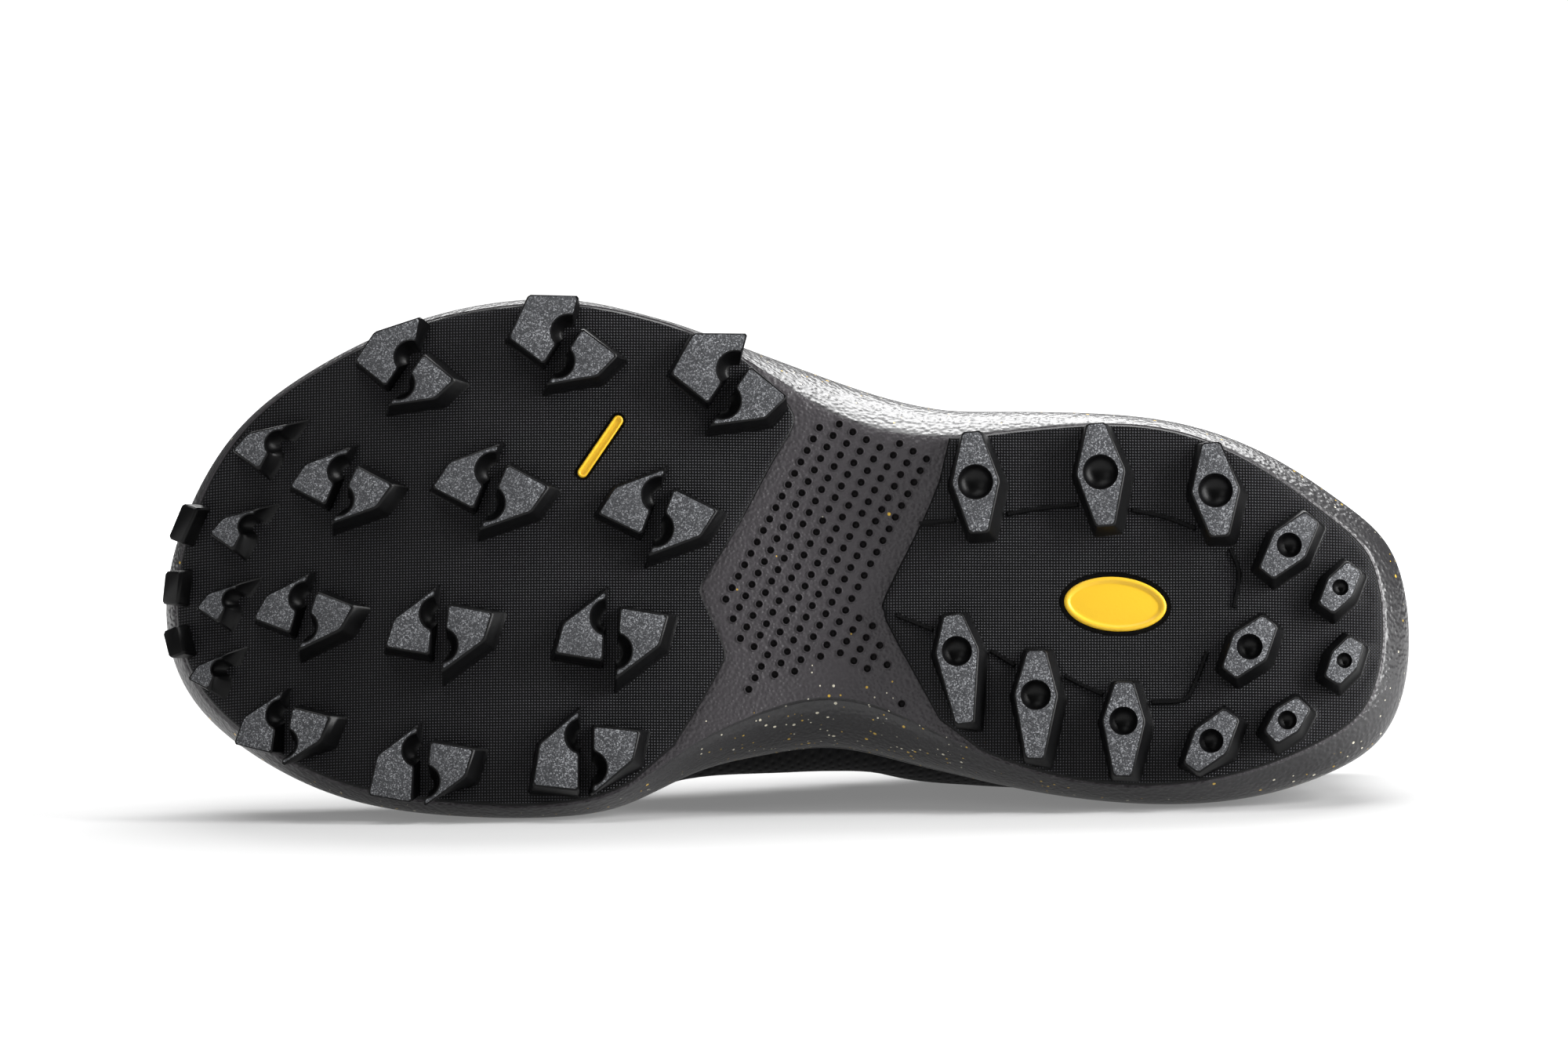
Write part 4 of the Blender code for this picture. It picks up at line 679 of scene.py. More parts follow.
class Surface:
    """The points, faces, finishes and weave coordinates of one piece, gathered part by part."""

    def __init__(self) -> None:
        """Starts with nothing."""
        self.points: list[tuple] = []
        self.coords: list[tuple] = []
        self.shares: Sequence[float] = ()
        self.faces: list[tuple] = []
        self.corners: list[Optional[list]] = []
        self.finishes: list[int] = []

    def add(self, points: Any, coords: Any = None) -> list[int]:
        """Adds points.

        Args:
            points: an array of x, y, z.
            coords: their weave coordinates in metres. Without them, x and y serve.

        Returns:
            The points' indices.
        """
        points = np.asarray(points, float)
        coords = points[:, :2] if coords is None else np.asarray(coords, float)
        first = len(self.points)
        self.points.extend(map(tuple, points))
        self.coords.extend(map(tuple, coords))
        return list(range(first, len(self.points)))

    def face(self, indices: Sequence[int], finish: int = 0,
             corners: Optional[list] = None) -> None:
        """Adds one face with its finish, and its own weave coordinates where they are given."""
        self.faces.append(tuple(indices))
        self.finishes.append(finish)
        self.corners.append(corners)

    def band(self, first: list[int], second: list[int], finish: int = 0) -> None:
        """Joins two rings with the same count of points."""
        for k in range(len(first)):
            after = (k + 1) % len(first)
            self.face((first[k], first[after], second[after], second[k]), finish)

    def climb(self, last: list[int], rings: Sequence[Array], finish: int = 0) -> list[int]:
        """Adds rings one upon the other.

        Args:
            last: the indices of the ring that they start from.
            rings: the rings, each with that one's count of points.
            finish: the finish of the faces between them.

        Returns:
            The indices of the last ring.
        """
        for ring in rings:
            after = self.add(ring)
            self.band(last, after, finish)
            last = after
        return last

    def grid(self, rows: Sequence[Array], finish: Union[int, Callable[[int, int], int]] = 0,
             capped: bool = False) -> list[list[int]]:
        """Adds rings of points joined to a tube, with coordinates round and along the tube.

        Args:
            rows: the rings, arrays of points of one length.
            finish: the finish of all faces, or a function of row and column.
            capped: whether the tube's two ends are closed.

        Returns:
            The indices of each ring.
        """
        stack = np.array(rows)
        middle = stack[len(stack) // 2]
        ring = np.vstack([middle, middle[:1]])
        u = np.concatenate([[0.0], np.cumsum(norm(np.diff(ring, axis=0), axis=1))])
        climb = norm(np.diff(stack, axis=0), axis=2)
        v = np.vstack([np.zeros(stack.shape[1]), np.cumsum(climb, axis=0)])
        count = stack.shape[1]
        made = [self.add(row, column_stack([u[:count], v[k]])) for k, row in enumerate(stack)]
        for r, (low, high) in enumerate(zip(made, made[1:])):
            for k in range(count):
                after = (k + 1) % count
                corners = None
                if after == 0:
                    corners = [
                        (u[k], v[r][k]), (u[count], v[r][0]), (u[count], v[r + 1][0]),
                        (u[k], v[r + 1][k]),
                    ]
                kind = finish(r, k) if callable(finish) else finish
                self.face((low[k], low[after], high[after], high[k]), kind, corners)
        if capped:
            self.face(made[0])
            self.face(made[-1])
        return made

    def sheet(self, border: Array, holes: Sequence[Array], spots: Array,
              clear: float, height: Callable[[Array], Array],
              ring: Optional[list[int]] = None, finish: int = 0) -> list[list[int]]:
        """Adds a sheet of small triangles inside a border.

        Args:
            border: its border in the plan.
            holes: loops left open in it.
            spots: points wanted inside it.
            clear: how far those keep from border and holes.
            height: gives the sheet's height at points of the plan.
            ring: the indices of the border's points, where they are there already.
            finish: the finish of its faces.

        Returns:
            The indices of the border's points and of each hole's.
        """
        turned = signed_area(border) < 0
        loop = border[::-1] if turned else border
        flat, triangles, rings = sheet_triangles(loop, holes, spots, clear)
        made = self.add(column_stack([flat, height(flat)]), flat)
        same = dict(zip(rings[0], ring[::-1] if turned else ring)) if ring else {}
        for triangle in triangles:
            self.face([same.get(index, made[index]) for index in triangle], finish)
        return [[made[index] for index in indices] for indices in rings]

    def build(self, name: str, finishes: Sequence[Material], angle: float, node: str,
              slot: str) -> Thing:
        """Makes the object, laid where the shoe lies, in the place of a solid.

        Args:
            name: the piece's name.
            finishes: the materials, in the order of the faces' finish numbers.
            angle: edges that turn more, in degrees, stay sharp.
            node: the solid that the piece replaces.
            slot: the record's material slot. It is not used.

        Returns:
            The object.
        """
        mesh = bpy.data.meshes.new(name)
        mesh.from_pydata(self.points, [], self.faces)
        layer = mesh.uv_layers.new(name="weave")
        flat: list[float] = []
        for face, corners in zip(self.faces, self.corners):
            for value in corners or [self.coords[index] for index in face]:
                flat.extend(value)
        layer.data.foreach_set("uv", flat)
        shares = mesh.attributes.new("share", "FLOAT", "POINT")
        shares.data.foreach_set("value", self.shares or [0.0] * len(self.points))
        mesh.polygons.foreach_set("material_index", self.finishes)
        shape = bmesh.new()
        shape.from_mesh(mesh)
        bmesh.ops.recalc_face_normals(shape, faces=shape.faces)
        shape.to_mesh(mesh)
        shape.free()
        mesh.shade_smooth()
        mesh.set_sharp_from_angle(angle=math.radians(angle))
        for material in finishes:
            mesh.materials.append(material)
        mesh.transform(REST)
        piece = placed_object(name, mesh)
        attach(piece, "root")
        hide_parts(node)
        return piece


def add_node(tree: Tree, kind: str, inputs: Optional[dict] = None,
             **settings: Any) -> Node:
    """Adds a node with its settings and links.

    Args:
        tree: the material's node tree.
        kind: the node's type, without its ShaderNode prefix.
        inputs: by an input's name or number its value, the socket that feeds it, or the node whose
            first output feeds it.
        settings: values of the node's properties.

    Returns:
        The node.
    """
    node = tree.nodes.new("ShaderNode" + kind)
    for key, value in settings.items():
        setattr(node, key, value)
    for key, value in (inputs or {}).items():
        source = value.outputs[0] if isinstance(value, Node) else value
        if isinstance(source, bpy.types.NodeSocket):
            tree.links.new(source, node.inputs[key])
        else:
            node.inputs[key].default_value = source
    return node


@dataclass(frozen=True)
class Finish:
    """What all finishes share: a name, a base colour, a roughness and a specular level."""

    name: str
    colour: str
    roughness: float
    specular: float = 0.5

    def material(self) -> Material:
        """Makes the material.

        Returns:
            The material, with the finish's own nodes.
        """
        material = bpy.data.materials.new(self.name)
        material.use_nodes = True
        shader = material.node_tree.nodes["Principled BSDF"]
        shader.inputs["Base Color"].default_value = linear(self.colour)
        shader.inputs["Roughness"].default_value = self.roughness
        shader.inputs["Specular IOR Level"].default_value = self.specular
        self.dress(material.node_tree, shader)
        return material

    def dress(self, tree: Tree, shader: Node) -> None:
        """Adds the finish's own nodes. Each finish has its own."""
        raise NotImplementedError

    def weave(self, tree: Tree, pitch: float, second: str = "Y") -> Node:
        """Adds the pattern of two crossing waves along the mesh's weave coordinates.

        Args:
            tree: the material's node tree.
            pitch: how far apart the waves lie.
            second: the direction of the second wave.

        Returns:
            The node that gives 1 where the waves cross.
        """
        place = add_node(tree, "UVMap", uv_map="weave")
        # A wave texture has 20 radians to the unit
        inputs = {"Vector": place, "Scale": 2.0 * math.pi / (20.0 * pitch)}
        waves = [add_node(tree, "TexWave", inputs, bands_direction=way) for way in ("X", second)]
        return add_node(tree, "Math", dict(enumerate(waves)), operation="MULTIPLY")

    def lay(self, tree: Tree, shader: Node, height: Node,
            relief: float, share: Optional[Node] = None, other: Any = None,
            strength: float = 1.0, sunk: bool = False) -> None:
        """Lays a pattern on the shader: its relief, and a second colour where it has one.

        Args:
            tree: the material's node tree.
            shader: the material's shader.
            height: the node that gives the relief's height.
            relief: the relief's depth in metres.
            share: the node that gives the second colour's share.
            other: the second colour, or the socket that gives it.
            strength: how much of the relief shows.
            sunk: whether the relief goes inwards.
        """
        if share is not None:
            colours = {0: share, 6: linear(self.colour), 7: other}
            mixed = add_node(tree, "Mix", colours, data_type="RGBA")
            tree.links.new(mixed.outputs[2], shader.inputs["Base Color"])
        inputs = {"Height": height, "Distance": relief, "Strength": strength}
        raised = add_node(tree, "Bump", inputs, invert=sunk)
        tree.links.new(raised.outputs[0], shader.inputs["Normal"])


@dataclass(frozen=True)
class UnevenSkin(Finish):
    """A moulded or welded skin without a pattern, which is faintly uneven."""

    scale: float = 900.0
    detail: float = 2.0
    relief: float = 0.00005
    strength: float = 0.5

    def dress(self, tree: Tree, shader: Node) -> None:
        """Adds the unevenness."""
        place = add_node(tree, "TexCoord").outputs["Object"]
        inputs = {"Vector": place, "Scale": self.scale, "Detail": self.detail}
        noise = add_node(tree, "TexNoise", inputs)
        self.lay(tree, shader, noise, self.relief, strength=self.strength)


@dataclass(frozen=True)
class WovenImprintRubber(Finish):
    """Compression moulded rubber from a mould with a woven imprint, as it is between the lugs.

    It gives a near black, satin ground with a fine square grid of raised points. Their tops are
    painted lighter as a painted highlight. The real points lie 0.55 mm apart. They are drawn 0.70
    mm apart, because the render can't show finer ones.
    """

    name: str = "outsole_rubber_woven"
    colour: str = "#070708"
    roughness: float = 0.45
    specular: float = 0.14
    # The colour of the points' raised tops: a painted highlight
    tip_highlight: str = "#56565b"
    sharpness: float = 2.2
    pitch: float = 0.00070
    relief: float = 0.00016

    def dress(self, tree: Tree, shader: Node) -> None:
        """Adds the grid of points, with a painted highlight on their tops."""
        dots = self.weave(tree, self.pitch)
        # The painted highlight's share, highest on the points' tops
        tip_highlight = add_node(tree, "Math", {0: dots, 1: self.sharpness}, operation="POWER")
        self.lay(tree, shader, dots, self.relief, tip_highlight, linear(self.tip_highlight))


@dataclass(frozen=True)
class PolishedRubber(UnevenSkin):
    """The same rubber where the mould is polished: lug walls, dimples, ridges and pad edges.

    It gives smooth dark walls with soft highlights along their edges.
    """

    name: str = "outsole_rubber_polished"
    colour: str = "#080809"
    roughness: float = 0.38
    specular: float = 0.22


@dataclass(frozen=True)
class GrainedRubber(Finish):
    """The same rubber on the lugs' tops, where the mould is spark eroded.

    It gives a greyer, dry face whose grain has bright points painted into its colour as painted
    glints. There are more of them in some places than others, following a coarse noise. The real
    grain is about 0.15 mm wide. It is drawn 0.26 mm wide, to show in the render.
    """

    name: str = "outsole_rubber_grained"
    colour: str = "#3c3d40"
    roughness: float = 0.50
    specular: float = 0.35
    # The colour of the painted glints in the grain
    painted_glints: str = "#aeb0b4"
    grain: float = 0.00026
    rarity: float = 4.5
    # The scale of the coarse noise that varies the painted glints, and its least share
    glint_patch_scale: float = 90.0
    least_glint_patch: float = 0.25
    relief: float = 0.00016

    def dress(self, tree: Tree, shader: Node) -> None:
        """Adds the grain, and painted glints whose number varies with a coarse noise."""
        place = add_node(tree, "TexCoord").outputs["Object"]
        cells = add_node(tree, "TexVoronoi", {"Vector": place, "Scale": 1.0 / self.grain})
        noise, glint_patches = (
            add_node(tree, "TexNoise", {"Vector": place, "Scale": scale, "Detail": detail})
            for scale, detail in ((0.7 / self.grain, 3.0), (self.glint_patch_scale, 2.0))
        )
        # Rare cells of the grain get the painted glints' colour, more where the coarse noise is
        # high
        chance = add_node(tree, "SeparateColor", {0: cells.outputs["Color"]})
        bright = add_node(tree, "Math", {0: chance, 1: self.rarity}, operation="POWER")
        more = add_node(tree, "Math", {0: glint_patches, 1: self.least_glint_patch}, operation="ADD")
        share = add_node(tree, "Math", {0: bright, 1: more}, operation="MULTIPLY")
        self.lay(tree, shader, noise, self.relief, share, linear(self.painted_glints))


@dataclass(frozen=True)
class FleckedFoam(Finish):
    """Compression moulded EVA foam with a closed skin, with light and yellow flecks of regrind.

    It gives a warm charcoal with the mould's small pebbles, which catch the light, and flecks that
    crowd together at the medial waist.
    """

    name: str = "midsole_eva_pebbled"
    colour: str = "#3d3a3d"
    roughness: float = 0.42
    light_fleck: str = "#d8d2bd"
    yellow_fleck: str = "#cfa93e"
    pebble: float = 0.0008
    relief: float = 0.00026
    fleck: float = 0.0016
    # The share of places with a fleck, at the fewest and how much more at the most
    fewest: float = 0.02
    most: float = 0.75
    # A fleck's radius as a share of its cell: the least, and how much more the rare wide ones have
    least: float = 0.12
    widening: float = 0.15

    def dress(self, tree: Tree, shader: Node) -> None:
        """Adds the pebbles and the flecks, whose number the surface's share attribute gives."""
        place = add_node(tree, "TexCoord").outputs["Object"]
        cells = add_node(tree, "TexVoronoi", {"Vector": place, "Scale": 1.0 / self.fleck})
        chance = add_node(tree, "SeparateColor", {0: cells.outputs["Color"]}).outputs
        crowd = add_node(tree, "Attribute", attribute_name="share")
        inputs = {0: crowd, 1: self.most, 2: self.fewest}
        limit = add_node(tree, "Math", inputs, operation="MULTIPLY_ADD")
        chosen = add_node(tree, "Math", {0: chance[0], 1: limit}, operation="LESS_THAN")
        small = add_node(tree, "Math", {0: chance[1], 1: 3.0}, operation="POWER")
        inputs = {0: small, 1: self.widening, 2: self.least}
        size = add_node(tree, "Math", inputs, operation="MULTIPLY_ADD")
        inputs = {0: cells.outputs["Distance"], 1: size}
        spot = add_node(tree, "Math", inputs, operation="LESS_THAN")
        share = add_node(tree, "Math", {0: chosen, 1: spot}, operation="MULTIPLY")
        kind = add_node(tree, "Math", {0: chance[2], 1: 0.5}, operation="GREATER_THAN")
        inputs = {0: kind, 6: linear(self.light_fleck), 7: linear(self.yellow_fleck)}
        tint = add_node(tree, "Mix", inputs, data_type="RGBA")
        inputs = {"Vector": place, "Scale": 1.0 / self.pebble}
        pebbles = add_node(tree, "TexVoronoi", inputs, feature="SMOOTH_F1")
        self.lay(tree, shader, pebbles, self.relief, share, tint.outputs[2], sunk=True)


@dataclass(frozen=True)
class BadgeRubber(UnevenSkin):
    """Injected yellow rubber of the plain badges.

    It gives one even warm yellow with a soft satin gloss on the raised rim.
    """

    name: str = "badge_rubber_yellow"
    colour: str = "#f1c127"
    roughness: float = 0.42
    scale: float = 1400.0
    strength: float = 0.6


@dataclass(frozen=True)
class EngineeredMesh(Finish):
    """Knitted polyester mesh of the upper, with open cells 1.6 mm apart.

    It gives a dull black face with rows of small pits, painted near black as shade in the open
    cells. The cells are drawn 2.2 mm apart, to show in the render.
    """

    name: str = "upper_polyester_mesh"
    colour: str = "#101012"
    roughness: float = 0.85
    specular: float = 0.2
    sheen: float = 0.05
    # The near black of the open cells: painted shade
    pit_shade: str = "#030303"
    sharpness: float = 1.5
    pitch: float = 0.0022
    relief: float = 0.00035

    def dress(self, tree: Tree, shader: Node) -> None:
        """Adds the pits, painted near black as shade, and the sheen of fine threads."""
        shader.inputs["Sheen Weight"].default_value = self.sheen
        both = self.weave(tree, self.pitch, "DIAGONAL")
        pits = add_node(tree, "Math", {0: both, 1: self.sharpness}, operation="POWER")
        self.lay(tree, shader, pits, self.relief, pits, linear(self.pit_shade), sunk=True)


@dataclass(frozen=True)
class WovenTextile(Finish):
    """A plain polyester textile: lining, sock liner cover, tongue face or lace.

    It gives fine crossing threads and a soft, dull face. Threads finer than 0.8 mm are drawn at
    0.8 mm or more, to show in the render.
    """

    specular: float = 0.3
    sheen: float = 0.2
    pitch: float = 0.0009
    relief: float = 0.00015

    def dress(self, tree: Tree, shader: Node) -> None:
        """Adds the threads."""
        shader.inputs["Sheen Weight"].default_value = self.sheen
        self.lay(tree, shader, self.weave(tree, self.pitch), self.relief)


@dataclass(frozen=True)
class WeldedFilm(UnevenSkin):
    """Thermoplastic polyurethane film, welded over the mesh.

    It gives smoother, slightly glossier panels on which the mesh below shows as a faint wave.
    """

    name: str = "upper_polyurethane_film"
    colour: str = "#0d0d0f"
    roughness: float = 0.46
    specular: float = 0.35
    scale: float = 700.0
    detail: float = 3.0
    relief: float = 0.00012
    strength: float = 0.6


@dataclass(frozen=True)
class StudioPaper(UnevenSkin):
    """Matt white background paper, lit from behind, so that its even ground stays white."""

    name: str = "studio_paper"
    colour: str = "#b8b8b8"
    roughness: float = 0.95
    specular: float = 0.1
    scale: float = 300.0
    relief: float = 0.00002
    strength: float = 0.2
    # The light's strength near the shoe and far from it, and where it rises from one to the other
    glow: tuple[float, float] = (0.20, 1.0)
    rise: tuple[float, float] = (0.32, 0.85)

    def dress(self, tree: Tree, shader: Node) -> None:
        """Adds a barely visible fibre, and the light from behind."""
        super().dress(tree, shader)
        place = add_node(tree, "TexCoord").outputs["Object"]
        away = add_node(tree, "VectorMath", {0: place}, operation="LENGTH")
        inputs = dict(enumerate((away.outputs["Value"], *self.rise, *self.glow)))
        glow = add_node(tree, "MapRange", inputs, interpolation_type="SMOOTHSTEP")
        shader.inputs["Emission Color"].default_value = linear("#ffffff")
        tree.links.new(glow.outputs[0], shader.inputs["Emission Strength"])


# Rubber

@dataclass(frozen=True)
class Tread:
    """The sizes that the studs of both pads share."""

    margin: float = 0.0006
    reach: float = 0.0124
    draft: float = 0.0010
    ramp: float = 0.0015
    groove_draft: float = 0.0002
    foot_edge: float = 0.0005
    groove: float = 0.0014
    dimple_depth: float = 0.0030
    ridge_width: float = 0.0012
    ridge_height: float = 0.0007
    seat: float = 0.0009
    corner: float = 0.0005
    top_edge: float = 0.0004
    # The fillet round a stud's foot: how far it reaches out, and its height as a share of the wall
    fillet: float = 0.00045
    fillet_level: float = 0.11
    # Rings of a dimple: how wide they are as shares of its radius, and how far down in degrees
    dimple_profile: tuple[tuple[float, int], ...] = (
        (1.05, 0), (1.01, 3), (0.985, 12), (1, 26), (1, 40), (1, 55), (1, 70),
    )
    dimple_step: float = 0.16
    # The heights at which a bite's wall has rings, and how far round its ball the wall starts
    bite_levels: tuple[float, ...] = (0.28, 0.48, 0.68, 0.86)
    bite_start: float = 0.893

    def wall_draft(self, loop: Array) -> Array:
        """How far each wall of a lug slopes out below its top: more towards the heel."""
        run = unit(edges_of(loop))
        facing = np.clip(run[:, 1] * RAMP_WAY[0] - run[:, 0] * RAMP_WAY[1], 0.0, 1.0)
        return self.draft + self.ramp * facing

    def bite_wall(self, draft: Array, scale: float) -> Array:
        """The slopes of a bitten lug's walls: its bite's wall slopes out like a ball's inside."""
        draft[1:-4] = BITE_SLOPE * BITE_RADIUS * self.reach * scale
        return draft

    def bite_share(self, level: Any) -> Any:
        """How far up its slope a bite's wall has come at a share of its height."""
        low = math.sqrt(1.0 - self.bite_start**2)
        return (np.sqrt(1.0 - (self.bite_start * (1.0 - level)) ** 2) - low) / (1.0 - low)

    def split_lug_half(self, scale: float, steps: int = 10) -> Array:
        """The top of one half of a forefoot lug, with a round bite out of its groove side.

        Args:
            scale: the lug's scale.
            steps: the steps of the bite's arc.

        Returns:
            The loop: the groove side from its lateral end first, and the outer corners last.
        """
        reach = self.reach * scale
        end, foot, medial, front = (np.array(corner) * reach for corner in LUG_HALF)
        shift = np.array([self.groove / 2.0, 0.0])
        end, foot = end + shift, foot + shift
        centre, radius = np.array(BITE_CENTRE) * reach, BITE_RADIUS * reach
        run = foot - end
        a, b = run @ run, 2.0 * run @ (end - centre)
        c = (end - centre) @ (end - centre) - radius**2
        root = math.sqrt(b * b - 4.0 * a * c)
        meets = [end + run * (-b + sign * root) / (2.0 * a) - centre for sign in (-1, 1)]
        turns = [math.atan2(meet[1], meet[0]) for meet in meets]
        arc = [
            centre + radius * np.array([math.cos(turn), math.sin(turn)])
            for turn in np.linspace(turns[0], turns[1], steps + 1)
        ]
        return np.array([end, *arc, foot, medial, front])


TREAD = Tread()


def placed(loop: Any, along: float, across: float, degrees: float) -> Array:
    """A loop turned and moved to a place on the sole.

    Args:
        loop: the loop round the origin.
        along: its place as a share of the length.
        across: its place as a share of the width.
        degrees: its turn.

    Returns:
        The placed loop.
    """
    turn = math.radians(degrees)
    spin = np.array([[math.cos(turn), math.sin(turn)], [-math.sin(turn), math.cos(turn)]])
    return np.asarray(loop) @ spin + FORM.plan(along, across)


def hexagon(lateral: float, medial: float, width: float) -> Array:
    """A long hexagon with narrow ends, reaching these distances from its widest place."""
    end, side = min(HEEL_LUG_END, HEEL_LUG_END_SHARE * width) / 2.0, width / 2.0
    return np.array(
        [(side, 0), (end, lateral), (-end, lateral), (-side, 0), (-end, -medial), (end, -medial)]
    )


def rectangle(length: float, width: float) -> Array:
    """A rectangle, long across the sole."""
    half, side = length / 2.0, width / 2.0
    return np.array([(side, -half), (side, half), (-side, half), (-side, -half)])


def oval(length: float, width: float) -> Array:
    """An ellipse, long along the sole."""
    turns = np.linspace(0.0, 2.0 * math.pi, 72, endpoint=False)
    return np.stack([np.cos(turns) * length / 2.0, np.sin(turns) * width / 2.0], 1)


def round_bar(length: float, width: float) -> Array:
    """A bar with round ends, long along the sole."""
    radius = width / 2.0
    turns = np.linspace(-math.pi / 2.0, math.pi / 2.0, 12)
    end = np.stack([np.cos(turns) * radius + length / 2.0 - radius, np.sin(turns) * radius], 1)
    return np.concatenate([end, -end])


def strip(line: Array, width: float) -> Array:
    """A loop of even width along an open line.

    Args:
        line: the line's points in the plan.
        width: the strip's width.

    Returns:
        The counterclockwise loop.
    """
    if len(line) > 2:
        line = smooth_path(line, 4)
    side = leftwards(unit(np.gradient(line, axis=0))) * width / 2.0
    loop = np.concatenate([line - side, (line + side)[::-1]])
    return loop if signed_area(loop) > 0 else loop[::-1]


def spots_over(border: Array, step: float) -> Array:
    """Points of a triangular grid over a loop's box."""
    low, high = border.min(axis=0), border.max(axis=0)
    made = []
    for r, y in enumerate(np.arange(low[1], high[1], step * 0.866)):
        xs = np.arange(low[0] + (step / 2.0 if r % 2 else 0.0), high[0], step)
        made.append(column_stack([xs, np.full(len(xs), y)]))
    return np.concatenate(made)


def sheet_triangles(border: Array, holes: Sequence[Array], spots: Array,
                    clear: float) -> tuple[Array, list, list]:
    """Triangles of a flat sheet inside a border and outside the holes.

    Args:
        border: the sheet's border.
        holes: loops cut from it.
        spots: points wanted inside it.
        clear: how far those keep from border and holes.

    Returns:
        The points, the triangles, and for each loop the indices of its points.
    """
    loops = [border, *holes]
    spots = spots[nearest_inside(spots, border)[0] > clear]
    for hole in holes:
        low, high = hole.min(axis=0) - clear, hole.max(axis=0) + clear
        near = np.all((spots > low) & (spots < high), axis=1)
        keep = np.ones(len(spots), bool)
        if near.any():
            keep[near] = nearest_inside(spots[near], hole)[0] < -clear
        spots = spots[keep]
    given = np.concatenate([*loops, spots]) * 1000.0
    ends = np.cumsum([0, *(len(loop) for loop in loops)])
    faces = [list(range(start, end)) for start, end in zip(ends, ends[1:])]
    flat = [Vector(point) for point in given]
    made, _, triangles, sources, _, owners = delaunay_2d_cdt(flat, [], faces, 1, 1e-4)
    where = {old: new for new, olds in enumerate(sources) for old in olds}
    kept = [tri for tri, owner in zip(triangles, owners) if list(owner) == [0]]
    rings = [[where[index] for index in face] for face in faces]
    return np.array([tuple(point) for point in made]) / 1000.0, kept, rings


